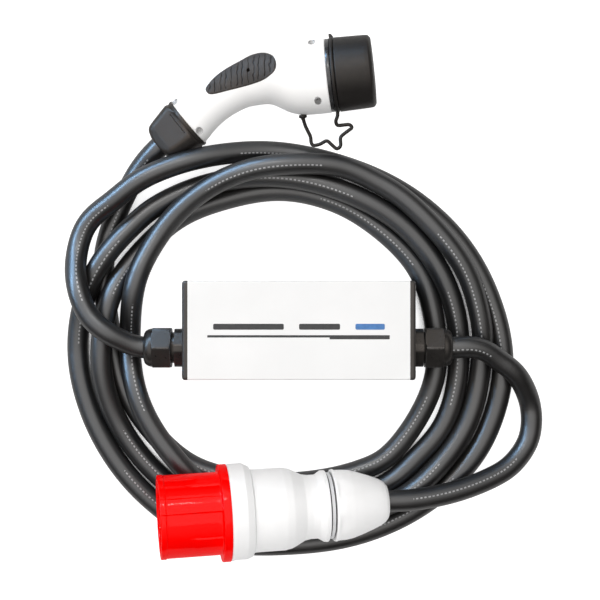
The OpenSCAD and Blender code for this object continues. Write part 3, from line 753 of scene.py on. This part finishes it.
def gun_half(name, s, node):
    n = 40
    T = math.pi * (0.5 - 0.5 * np.cos(math.pi * np.arange(n + 1) / n))
    T = 0.6 * T + 0.4 * math.pi * np.arange(n + 1) / n
    pts = []
    rows = []
    total = len(sections)
    for i, g in enumerate(sections):
        o = 0.0
        if g[0] > -1.2:
            o = -0.9 * (1 - math.sqrt(max(0, 1 - ((g[0] + 1.2) / 1.2) ** 2)))
        rows.append((g, o))
    # a close row just behind the front edge gives it its small radius
    fine = []
    for u, o in ((0, -0.9), (-0.25, -0.45), (-0.6, -0.15), (-1.1, 0.0)):
        g = sections[0].copy()
        g[0] = u
        fine.append((g, o))
    rows = fine + [r for r in rows if r[0][0] < -1.3]
    for g, o in rows:
        for k, t in enumerate(T):
            q = gun_pt(g, t, o, s)
            if k in (0, n):
                q = gun_pt(g, t, o - 0.55, s)
                q = (q[0], q[1], s * 0.0)
            pts.append(q)
        for k, t in enumerate(T[::-1]):
            pts.append(gun_pt(g, t, -2.5, s))
    w = 2 * (n + 1)
    m = len(rows)
    faces = ring_faces(m, w) + [tuple(range(w)), tuple((m - 1) * w + k for k in range(w))[::-1]]
    o = mesh_obj(name, placed(GUN, pts), faces, white_gun, 32)
    return o


def bar(M, r0, z0, z1, x, y, n=32, r1=None, cone=0.0):
    """A round cutter along the local Z."""
    pts = []
    prof = [(r0, z0), (r1 or r0, z1)]
    if cone:
        prof = [(r0, z0), (r0, z1 - cone), (r0 + cone, z1)]
    for r, z in prof:
        for k in range(n):
            a = 2 * math.pi * k / n
            pts.append((x + r * math.cos(a), y + r * math.sin(a), z))
    m = len(prof)
    faces = ring_faces(m, n) + [tuple(range(n)), tuple((m - 1) * n + k for k in range(n))[::-1]]
    me = bpy.data.meshes.new("cutter")
    me.from_pydata([tuple(v) for v in placed(M, pts)], [], faces)
    bm = bmesh.new()
    bm.from_mesh(me)
    bmesh.ops.recalc_face_normals(bm, faces=bm.faces)
    bm.to_mesh(me)
    bm.free()
    o = bpy.data.objects.new("cutter", me)
    scene.collection.objects.link(o)
    return o


shell_up = gun_half("gun_shell_upper_visual", 1, "gun_shell_upper")
shell_lo = gun_half("gun_shell_lower_visual", -1, "gun_shell_lower")


def skin_tree(s):
    """The shell's outer surface on the upper side, in local millimetres, to drop points on; s is not used."""
    rows = smooth_rows(gun_s, 16)
    n = 72
    v, f = [], []
    for g in rows:
        for k in range(n + 1):
            v.append(gun_pt(g, math.pi * k / n, 0, 1))
    for i in range(len(rows) - 1):
        for k in range(n):
            a = i * (n + 1) + k
            f.append((a, a + 1, a + n + 2, a + n + 1))
    return BVHTree.FromPolygons(v, f)


skin = skin_tree(1)


def skin_z(u, v):
    hit = skin.ray_cast(Vector((u, v, 100)), Vector((0, 0, -1)))
    return hit[0].z if hit[0] is not None else 0.0


def sleeve_piece(u, v, n=40):
    """The wall of a screw well: a tube along local Z whose top follows the shell's skin."""
    pts = []
    for q, kind in ((3.4, 0), (3.4, 1), (2.85, 1), (2.85, 0)):
        for k in range(n):
            a = 2 * math.pi * k / n
            x, y = u + q * math.cos(a), v + q * math.sin(a)
            z = 0.05 if kind == 0 else max(0.08, skin_z(x, y) - (0.35 if q > 3 else 0.10))
            pts.append((x, y, z))
    return placed(GUN, pts), ring_faces(4, n, True)


def tube_piece(M, r, ri, z0, z1, x, y, n=40):
    """A short tube along local Z."""
    pts = []
    for z, q in ((z0, r), (z1, r), (z1, ri), (z0, ri)):
        for k in range(n):
            a = 2 * math.pi * k / n
            pts.append((x + q * math.cos(a), y + q * math.sin(a), z))
    return placed(M, pts), ring_faces(4, n, True)


def join_in(obj, parts):
    """Adds closed parts of (verts, faces) to a piece's mesh."""
    bm = bmesh.new()
    bm.from_mesh(obj.data)
    for verts, faces in parts:
        vs = [bm.verts.new(v) for v in verts]
        for f in faces:
            bm.faces.new([vs[i] for i in f])
    bmesh.ops.recalc_face_normals(bm, faces=bm.faces)
    bm.to_mesh(obj.data)
    bm.free()
    obj.data.shade_smooth()
    obj.data.set_sharp_from_angle(angle=rad(32))


PAD_HOLE = (-62.0, 8.1)
cut_by(shell_up, [bar(GUN, 2.85, q[3], 60, q[0], q[1]) for q in gun_screw_at] + [bar(GUN, 1.7, 17, 60, *PAD_HOLE)])
cut_by(shell_lo, [bar(GUN, 1.7, -60, -17, *PAD_HOLE)])
sleeves = []
for u, v, low, seat in gun_screw_at:
    sleeves.append(sleeve_piece(u, v))
    sleeves.append(tube_piece(GUN, 2.87, 1.75, seat - 0.9, seat - 0.03, u, v))
join_in(shell_up, sleeves)
join_in(shell_lo, [tube_piece(GUN, 2.9, 1.6, -q[2], -0.05, q[0], q[1]) for q in gun_screw_at])
for o, node in ((shell_up, "gun_shell_upper"), (shell_lo, "gun_shell_lower")):
    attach(o, "root")
    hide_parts(node)


# grip pads: soft moulded inlays with wavy ridges across the handle
pad_outline = [(-97.9, -2.4), (-96.7, -6.0), (-94.0, -7.3), (-78.3, -5.6), (-52.1, -1.3), (-45.1, 1.6), (-40.4, 5.2), (-38.9, 10.6),
               (-41.0, 17.0), (-48.3, 21.2), (-58.3, 21.0), (-68.4, 17.1), (-83.7, 10.3), (-92.4, 4.3)]


def closed_curve(P, n):
    """Smooth closed curve through the points."""
    P = np.asarray(P, float)
    N = len(P)
    out = []
    for i in range(N):
        p0, p1, p2, p3 = P[i - 1], P[i], P[(i + 1) % N], P[(i + 2) % N]
        d1, d2, d3 = (max(np.linalg.norm(b - a), 1e-6) ** 0.5 for a, b in ((p0, p1), (p1, p2), (p2, p3)))
        m1 = (p2 - p1) + d2 * ((p1 - p0) / d1 - (p2 - p0) / (d1 + d2))
        m2 = (p2 - p1) + d2 * ((p3 - p2) / d3 - (p3 - p1) / (d2 + d3))
        for k in range(n):
            t = k / n
            out.append((2 * t ** 3 - 3 * t ** 2 + 1) * p1 + (t ** 3 - 2 * t ** 2 + t) * m1
                       + (-2 * t ** 3 + 3 * t ** 2) * p2 + (t ** 3 - t ** 2) * m2)
    return np.array(out)


pad_curve = closed_curve(pad_outline, 24)


def pad_span(u):
    """Lowest and highest place across the pad at u."""
    c = np.vstack([pad_curve, pad_curve[:1]])
    hit = []
    for a, b in zip(c[:-1], c[1:]):
        if (a[0] - u) * (b[0] - u) <= 0 and a[0] != b[0]:
            f = (u - a[0]) / (b[0] - a[0])
            hit.append(a[1] + f * (b[1] - a[1]))
    return (min(hit), max(hit)) if hit else None


def pad(name, s, node):
    u0, u1 = pad_curve[:, 0].min() + 0.02, pad_curve[:, 0].max() - 0.02
    k = np.linspace(0, 1, 241)
    us = u0 + (u1 - u0) * (0.5 - 0.5 * np.cos(math.pi * k)) * 0.35 + (u1 - u0) * k * 0.65
    n = 48
    top, low, shade = [], [], []
    for u in us:
        v0, v1 = pad_span(u)
        for j in range(n + 1):
            w = 0.5 - 0.5 * math.cos(math.pi * j / n)
            v = v0 + (v1 - v0) * w
            edge = min(v - v0, v1 - v, (u - u0) * 2.2 + 0.3, (u1 - u) * 2.2 + 0.3)
            e = math.sqrt(max(0.0, 1 - (1 - min(edge / 1.6, 1)) ** 2))
            z = skin_z(u, v)
            x = u - 0.096 * v
            wave = x + 0.34 * math.sin(v * 0.52 + x * 0.21) + 0.20 * math.sin(v * 1.25 + x * 0.8)
            bend = wave + 0.5 * math.sin(x * 0.9)
            groove = (0.5 + 0.5 * math.cos(2 * math.pi * bend / 4.5)) ** 16
            fine = (0.5 + 0.5 * math.cos(2 * math.pi * (wave + 0.2 * math.sin(v * 2.1)) / 1.5)) ** 3
            some = 0.45 + 0.55 * math.sin(x * 1.7 + 0.8) ** 2 + 0.25 * sstep(-70, -50, x)
            fade = sstep(0.9, 2.2, edge)
            cutin = fade * min(1.0, groove * some + 0.22 * fine)
            d = 0.95 * e - 0.62 * cutin
            hole = math.hypot(u - PAD_HOLE[0], v - PAD_HOLE[1])
            sink = 1 - sstep(0.95, 1.35, hole)
            d -= 2.9 * sink - 0.15 * math.exp(-((hole - 1.9) / 0.4) ** 2)
            # painted shade: the grooves and the screw hole are marked here to be drawn darker
            shade.append(max(cutin, sink))
            top.append((u, v, s * (z + 0.05 + d)))
            low.append((u, v, s * (z - 1.6 - 1.9 * (1 - sstep(1.35, 1.6, hole)))))
    m = len(us)
    w = n + 1
    faces = []
    for i in range(m - 1):
        for j in range(n):
            a = i * w + j
            faces.append((a, a + 1, a + w + 1, a + w))
            b = m * w + a
            faces.append((b, b + w, b + w + 1, b + 1))
    N = m * w
    rim = [j for j in range(w)] + [i * w + n for i in range(1, m)] + [(m - 1) * w + j for j in range(n - 1, -1, -1)] \
        + [i * w for i in range(m - 2, 0, -1)]
    for a, b in zip(rim, rim[1:] + rim[:1]):
        faces.append((b, a, N + a, N + b))
    o = mesh_obj(name, placed(GUN, top + low), faces, pad_mat, 50)
    # painted shade mask, kept per point for the grip's material
    layer = o.data.attributes.new("groove", "FLOAT", "POINT")
    layer.data.foreach_set("value", np.array(shade + [0.0] * len(low), np.float32))
    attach(o, "root")
    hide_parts(node)
    return o


def grip_material():
    """Soft grey grip, with painted shade making its grooves and screw hole darker."""
    m, nt, p = node_mat("grip_rubber")
    at = nt.nodes.new("ShaderNodeAttribute")
    at.attribute_name = "groove"
    col = mixed(nt, remap(nt, noise(nt, 90, 4), 0.35, 0.65, 0, 1), (0.042, 0.0375, 0.0345), (0.056, 0.050, 0.046))
    # painted shade: the marked grooves and screw hole are mixed towards near black
    col = mixed(nt, remap(nt, at.outputs["Fac"], 0.1, 0.8, 0, 0.92), col, (0.008, 0.007, 0.007))
    nt.links.new(col, p.inputs["Base Color"])
    nt.links.new(remap(nt, noise(nt, 400, 5), 0.3, 0.7, 0.52, 0.68), p.inputs["Roughness"])
    bumped(nt, p, noise(nt, 2600, 3), 0.00003)
    p.inputs["Specular IOR Level"].default_value = 0.3
    p.inputs["Specular Tint"].default_value = (*WARM, 1)
    return m


pad_mat = grip_material()
pad("grip_pad_upper_visual", 1, "grip_pad_upper")
pad("grip_pad_lower_visual", -1, "grip_pad_lower")


# rear boot: a round lip over the shells' end, then a squarish cone with a flat on each
# broad side and a slot across the flat
def boot_piece():
    n = 144
    pts = []
    rings = 0

    def round_ring(x, r):
        for k in range(n):
            t = 2 * math.pi * k / n
            pts.append((x, r * math.cos(t), r * math.sin(t)))

    for x, r in ((-2, 9.0), (-2, 11.4), (0, 11.4), (0, 21.38), (-1.9, 21.38), (-2.2, 21.55), (-2.25, 21.8), (-2.1, 22.05),
                 (-1.8, 22.15), (-0.2, 22.2), (0.25, 22.1), (0.5, 21.8)):
        round_ring(x, r)
        rings += 1
    prof_x = [0.5, 1.0, 4, 8, 16, 20, 23, 25, 26.5, 27.6, 28.4, 28.8, 29]
    prof_r = [21.5, 21.5, 21.1, 20.4, 18.9, 18.1, 17.4, 16.8, 15.9, 14.6, 12.9, 11.9, 11.3]
    for x in (0.7, 1.4, 2.4, 3.6, 3.95, 4.1, 4.6, 4.75, 5.1, 6, 8, 10, 12.5, 15, 17.5, 20, 22, 23.5, 25, 26, 26.8, 27.5, 28.1, 28.6, 28.9, 29.0):
        r = float(np.interp(x, prof_x, prof_r))
        p = 2.0 + 0.9 * sstep(0.5, 4.0, x) * (1 - sstep(24, 29, x))
        roll = rad(8) * sstep(0.5, 3.0, x)
        for k in range(n):
            t = 2 * math.pi * k / n
            c, s = math.cos(t), math.sin(t)
            q = r / (abs(c) ** p + abs(s) ** p) ** (1 / p)
            y, z = q * c, q * s
            # the flat on top and below, leaning in towards the cable
            cap = 18.6 - 0.16 * x - 0.24 * max(0, x - 22)
            za = smin(abs(z), cap, 1.6)
            slot = (1 if 3.96 < x < 4.74 else 0) * (1 - sstep(9.2, 9.6, abs(y - 0.5))) * (1 if abs(z) > 1 else 0)
            z = math.copysign(za - 0.9 * slot, z)
            pts.append((x, y * math.cos(roll) - z * math.sin(roll), y * math.sin(roll) + z * math.cos(roll)))
        rings += 1
    round_ring(28.6, 9.0)
    rings += 1
    o = mesh_obj("gun_boot_visual", placed(BOOT, pts), ring_faces(rings, n, True), boot_rubber, 32)
    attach(o, "root")
    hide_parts("gun_boot")
    return o


boot = boot_piece()


# dust cap: a cup with a flat side, a rolled rear lip and a softly domed front
def cap_shape(x, r, t):
    a = abs(t if t <= math.pi else 2 * math.pi - t)
    flat = 29.4 - 1.2 * sstep(35, 36.8, x)
    if r < 26.2 and 3.3 < x < 34.7:
        flat = 23.7
    if a < 1.2:
        return smin(r, flat / math.cos(a), 0.5)
    return r


cap_line = rounded_line([
    (3.2, 25.9, 0.3), (3.2, 27.6, 0.2), (6.7, 27.6, 0.2), (6.8, 29.9, 0.7), (9, 29.85, 0.5), (31, 29.25, 6), (34.6, 28.9, 2.4),
    (36.5, 26.4, 2.2), (36.8, 20, 3), (36.65, 0.0), (34.6, 0.0), (34.6, 25.9, 0.6)], 6)
cap = turned("dust_cap_visual", GUN, cap_line, black_rubber, 144, cap_shape, 34, step=2.5)
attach(cap, "cap")
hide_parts("dust_cap")

# tether: ring on the cap's neck, thin wavy strap and a button in the handle
tether_route = [
    (4.6, -28.8, 0), (4.2, -33.4, -1), (1.9, -36.8, -2), (2.8, -40.6, -3.5), (13.2, -40.4, -4), (15.4, -43.2, -4.5),
    (8.2, -47.2, -5), (4.4, -49.8, -5), (4.3, -57.4, -5), (0.8, -59.6, -4.5), (-6.6, -51.2, -4.5), (-12.6, -54, -5),
    (-18.6, -54.6, -5), (-19.6, -52, -5), (-19.4, -47, -4.5), (-22.6, -38.8, -3), (-23.8, -33, -1), (-23.8, -31, 0)]


def tether_piece():
    P = np.array(tether_route, float)
    dense, _ = even(P, 0.5)
    for _ in range(14):
        dense[1:-1] = (dense[:-2] + 2 * dense[1:-1] + dense[2:]) / 4
    dense, _ = even(dense, 0.8)
    tan, side, up = frames(dense)
    n = 16
    r = 1.45
    verts, faces = [], []
    base = 0
    for i, c in enumerate(dense):
        for k in range(n):
            t = 2 * math.pi * k / n
            verts.append(c + r * (math.cos(t) * side[i] + math.sin(t) * up[i]))
    faces += ring_faces(len(dense), n) + [tuple(range(n)), tuple((len(dense) - 1) * n + k for k in range(n))[::-1]]
    base = len(verts)
    # ring with a rounded section
    N = 120
    line = rounded_line([(3.4, 27.7, 0.4), (3.4, 30.2, 0.9), (6.2, 30.2, 0.9), (6.2, 27.7, 0.4)], 4)
    for x, q in line:
        for k in range(N):
            t = 2 * math.pi * k / N
            verts.append((x, q * math.cos(t), q * math.sin(t)))
    faces += [tuple(base + i for i in f) for f in ring_faces(len(line), N, True)]
    base = len(verts)
    # button: a mushroom with a waist where the strap meets it
    prof = [(-29.3, 2.9), (-29.5, 3.25), (-31.2, 3.3), (-31.5, 3.15), (-31.7, 2.7), (-31.9, 2.0), (-32.6, 1.6), (-33.4, 1.5)]
    for y, q in prof:
        for k in range(32):
            t = 2 * math.pi * k / 32
            verts.append((-23.8 + q * math.cos(t), y, q * math.sin(t)))
    m = len(prof)
    faces += [tuple(base + i for i in f) for f in ring_faces(m, 32)]
    faces += [tuple(base + k for k in range(32)), tuple(base + (m - 1) * 32 + k for k in range(32))[::-1]]
    base = len(verts)
    # pull tab with rounded corners
    for z in (-2.5, 2.5):
        for x, y in rounded_line([(3.2, 29.6), (3.2, 33.1, 0.6), (5.2, 33.0, 1.6), (6.6, 31.0, 0.8), (6.6, 29.6)], 4):
            verts.append((x, y, z))
    cnt = (len(verts) - base) // 2
    faces += [tuple(base + i for i in f) for f in ring_faces(2, cnt)]
    faces += [tuple(base + k for k in range(cnt)), tuple(base + cnt + k for k in range(cnt))[::-1]]
    o = mesh_obj("cap_tether_visual", placed(GUN, verts), faces, black_rubber, 40)
    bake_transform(o)
    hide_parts("cap_tether")
    return o


tether = tether_piece()
flange = rounded_copy("connector_insert_visual", "connector_insert", 0.35, insert_black)


# --------------------------------------------------------------- box glands
def gland_body_piece(name, M, node):
    line = rounded_line([
        (78.6, 9.2), (78.6, 12.4), (89.0, 12.4), (89.1, 19, 0.1), (89.5, 20, 0.1), (99.2, 20, 0.1), (99.5, 19.0, 0.1), (99.6, 12.4, 0.1), (108.5, 12.4, 0.3),
        (108.5, 9.2)], 2)

    def shape(x, r, t):
        if r < 12.5:
            return r
        q = flats(17.0 if 89.6 < x < 99.0 else 16.2, t, 30.4, 0.25, turn=rad(0))
        return q

    o = turned(name, M, line, gland_black, 144, shape, 28)
    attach(o, "root")
    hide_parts(node)
    return o


def gland_nut_piece(name, M, n0, node):
    xs = [(n0, 12.6), (n0, 16.4), (n0 + 0.8, 17.9), (n0 + 1.0, 18.1), (n0 + 14.2, 18.1), (n0 + 14.6, 17.6), (n0 + 15, 16.4),
          (n0 + 15.2, 15.5), (n0 + 16, 15.35), (n0 + 17, 15.2), (n0 + 18, 14.95), (n0 + 19, 14.5), (n0 + 20, 13.9), (n0 + 20.8, 13.2),
          (n0 + 21.4, 12.4), (n0 + 21.8, 11.4), (n0 + 22, 10.2), (n0 + 21.9, 9.3), (n0 + 21.4, 9.0), (n0 + 14.6, 9.0),
          (n0 + 14.5, 12.6)]

    def shape(x, r, t):
        if r < 15.6 or x > n0 + 15.1:
            if x > n0 + 15.3 and r > 12.8:
                return r - 0.0
            return r
        return flats(r, t, 31.5, 0.3, turn=rad(0))

    o = turned(name, M, xs, gland_black, 144, shape, 28)
    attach(o, "root")
    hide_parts(node)
    return o


gland_body_piece("gland_left_body_visual", GLAND_L, "gland_left_body")
gland_body_piece("gland_right_body_visual", GLAND_R, "gland_right_body")
gland_nut_piece("gland_left_nut_visual", GLAND_L, 102.4, "gland_left_nut")
gland_nut_piece("gland_right_nut_visual", GLAND_R, 101, "gland_right_nut")

# --------------------------------------------------------------- control box


def bezel_share(c, low, high):
    """All of the width on the outline of the face that looks outwards, a little elsewhere."""
    outward = high.x - c.x if high.x > 0 else c.x - low.x
    rim = min(c.y - low.y, high.y - c.y, c.z - low.z, high.z - c.z)
    return 1.0 if outward < 0.2 * MM and rim < 0.8 * MM else 0.1


bezel_l = rounded_copy("bezel_left_visual", "bezel_left", 2.2, bezel_black, 5, share=bezel_share)
bezel_r = rounded_copy("bezel_right_visual", "bezel_right", 2.2, bezel_black, 5, share=bezel_share)


def face_marks():
    """Plain marks on the front face: a rule with a thicker end, and three rounded bars above it.
    They stand where a real one carries its lettering."""
    dark, nt, p = node_mat("face_print_dark")
    col = mixed(nt, remap(nt, noise(nt, 300, 4), 0.35, 0.65, 0, 1), (0.014, 0.0135, 0.013), (0.024, 0.023, 0.022))
    nt.links.new(col, p.inputs["Base Color"])
    nt.links.new(remap(nt, noise(nt, 500), 0.3, 0.7, 0.4, 0.55), p.inputs["Roughness"])
    bumped(nt, p, noise(nt, 2500, 2), 0.00001)
    blue = plastic("face_print_blue", (0.030, 0.135, 0.36), (0.045, 0.175, 0.44), (0.35, 0.5), 2500, 0.00001, 300)
    top = 70.0

    def slab(bm, x0, x1, y0, y1, z0, z1, r, hole=0.0, mat_index=0):
        out = rounded_line([(x0, y0, r), (x1, y0, r), (x1, y1, r), (x0, y1, r)], 3)
        k = len(out)
        rings = [[(x, y, z0) for x, y in out], [(x, y, z1) for x, y in out]]
        if hole:
            rr = max(r - hole, 0.15)
            inn = rounded_line([(x0 + hole, y0 + hole, rr), (x1 - hole, y0 + hole, rr), (x1 - hole, y1 - hole, rr),
                                (x0 + hole, y1 - hole, rr)], 3)
            rings += [[(x, y, z1) for x, y in inn], [(x, y, z0) for x, y in inn]]
        vs = [[bm.verts.new((x * MM, y * MM, z * MM)) for x, y, z in q] for q in rings]
        m = len(vs)
        for i in range(m if hole else m - 1):
            for j in range(k):
                f = bm.faces.new((vs[i][j], vs[i][(j + 1) % k], vs[(i + 1) % m][(j + 1) % k], vs[(i + 1) % m][j]))
                f.material_index = mat_index
        if not hole:
            bm.faces.new(vs[0][::-1]).material_index = mat_index
            bm.faces.new(vs[1]).material_index = mat_index

    bm = bmesh.new()
    z0, z1 = top - 0.05, top + 0.12
    slab(bm, -71.6, 71.0, -5.5, -3.7, z0, z1, 0.3)
    slab(bm, 24.0, 71.0, -6.9, -3.8, z0, z1 + 0.02, 0.4)
    # plain rounded bars, one where each word stands, the last in blue
    slab(bm, -67.0, -11.8, 0.6, 5.2, z0, z1, 1.2)
    slab(bm, 0.2, 32.2, 0.6, 5.2, z0, z1, 1.2)
    slab(bm, 44.2, 67.2, 0.6, 5.2, z0, z1, 1.2, 0, 1)
    bmesh.ops.recalc_face_normals(bm, faces=bm.faces)
    me = bpy.data.meshes.new("face_marks")
    bm.to_mesh(me)
    bm.free()
    o = bpy.data.objects.new("face_marks", me)
    scene.collection.objects.link(o)
    me.materials.append(dark)
    me.materials.append(blue)
    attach(o, "root")
    return o


face_marks()

# ------------------------------------------- finishes of the CAD nodes shown
finish_of = {
    "box_shell": body_white, "end_plate_left": plate_metal, "end_plate_right": plate_metal, "box_screws": steel,
    "control_board": board_mat, "relay_a": relay_black, "relay_b": relay_black, "power_module": grey_plastic,
    "current_sensor": grey_plastic, "terminal_in": terminal_green, "terminal_out": terminal_green,
    "supply_cores": core_mat, "vehicle_cores": core_mat, "gland_left_seal": seal_rubber,
    "gland_right_seal": seal_rubber, "gland_left_locknut": gland_black, "gland_right_locknut": gland_black,
    "plug_pin_earth": pin_metal, "plug_pin_l1": pin_metal, "plug_pin_l2": pin_metal, "plug_pin_l3": pin_metal,
    "plug_pin_n": pin_metal, "plug_clamp": clamp_grey, "gun_screws": steel,
    "gun_clamp": clamp_grey, "contact_pe": contact_metal, "contact_n": contact_metal, "contact_l1": contact_metal,
    "contact_l2": contact_metal, "contact_l3": contact_metal, "contact_pp": contact_metal, "contact_cp": contact_metal,
}
for name, m in finish_of.items():
    o = nodes[name]
    if not o.material_slots:
        o.data.materials.append(m)
    for s in o.material_slots:
        s.material = m

# -------------------------------------------------------- light and backdrop
floor_me = bpy.data.meshes.new("floor")
floor_me.from_pydata([(-3, -3, -0.0004), (3, -3, -0.0004), (3, 3, -0.0004), (-3, 3, -0.0004)], [], [(0, 1, 2, 3)])
floor = bpy.data.objects.new("floor", floor_me)
scene.collection.objects.link(floor)
fm, fnt, fp = node_mat("floor_paper")
fp.inputs["Roughness"].default_value = 0.9
fp.inputs["Specular IOR Level"].default_value = 0.1
# painted shade: an ambient-occlusion mask turns the paper near black and stops its glow in narrow gaps between the
# strands; open paper stays white
fao = fnt.nodes.new("ShaderNodeAmbientOcclusion")
fao.samples = 24
fao.inputs["Distance"].default_value = 0.05
open_sky = remap(fnt, fao.outputs["AO"], 0.035, 0.11, 0.0, 1.0)
fpath = fnt.nodes.new("ShaderNodeLightPath")
fcol = mixed(fnt, noise(fnt, 8, 2), (0.40, 0.40, 0.40), (0.42, 0.42, 0.42))
fnt.links.new(mixed(fnt, open_sky, (0.01, 0.01, 0.01), fcol), fp.inputs["Base Color"])
fp.inputs["Emission Color"].default_value = (1, 1, 1, 1)
fseen = remap(fnt, fpath.outputs["Is Glossy Ray"], 0.0, 1.0, 0.93, 0.24)
fseen = maths(fnt, "SUBTRACT", fseen, maths(fnt, "MULTIPLY", fpath.outputs["Is Diffuse Ray"], 0.18))
fnt.links.new(maths(fnt, "MULTIPLY", open_sky, fseen), fp.inputs["Emission Strength"])
floor_me.materials.append(fm)

world = bpy.data.worlds.new("studio")
scene.world = world
world.use_nodes = True
wnt = world.node_tree
wnt.nodes.clear()
wout = wnt.nodes.new("ShaderNodeOutputWorld")
wbg = wnt.nodes.new("ShaderNodeBackground")
wtc = wnt.nodes.new("ShaderNodeTexCoord")
wsep = wnt.nodes.new("ShaderNodeSeparateXYZ")
wnt.links.new(wtc.outputs["Generated"], wsep.inputs[0])
side = maths(wnt, "MULTIPLY", maths(wnt, "SUBTRACT", wsep.outputs[1], wsep.outputs[0]), 0.22)
lift = remap(wnt, maths(wnt, "ADD", wsep.outputs[2], side), 0.28, 0.72, 0.0, 1.0)
wnt.links.new(mixed(wnt, lift, (0.012, 0.012, 0.012), (0.76, 0.735, 0.715)), wbg.inputs["Color"])
wbg.inputs["Strength"].default_value = 0.85
wnt.links.new(wbg.outputs[0], wout.inputs[0])


def area(name, loc, target, size, size_y, radiance, color=(1, 1, 1), glossy=True):
    """A rectangular lamp of that radiance, its first side level."""
    d = bpy.data.lights.new(name, "AREA")
    d.energy = radiance * math.pi * size * size_y
    d.color = color
    d.shape = "RECTANGLE"
    d.size = size
    d.size_y = size_y
    o = bpy.data.objects.new(name, d)
    o.location = loc
    scene.collection.objects.link(o)
    aim(o, target)
    o.visible_glossy = glossy
    return o


area("softbox", (-0.30, 0.45, 1.75), (0, 0, 0), 3.1, 3.1, 1.17, (1.0, 0.992, 0.985))
area("window", (-1.22, 1.00, 0.92), (0, 0, 0), 2.4, 0.30, 25.0, (0.36, 0.64, 1.0)).visible_diffuse = False
area("strip", (-0.19, 0.62, 0.99), (-0.09, -0.145, 0.07), 0.6, 0.03, 40, (1.0, 1.0, 1.0))
area("lift", (0.20, -1.2, 0.75), (0, 0, 0), 1.6, 0.9, 0.90, (1.0, 1.0, 1.0), glossy=False)

scene.view_settings.view_transform = "Standard"
scene.view_settings.look = "None"
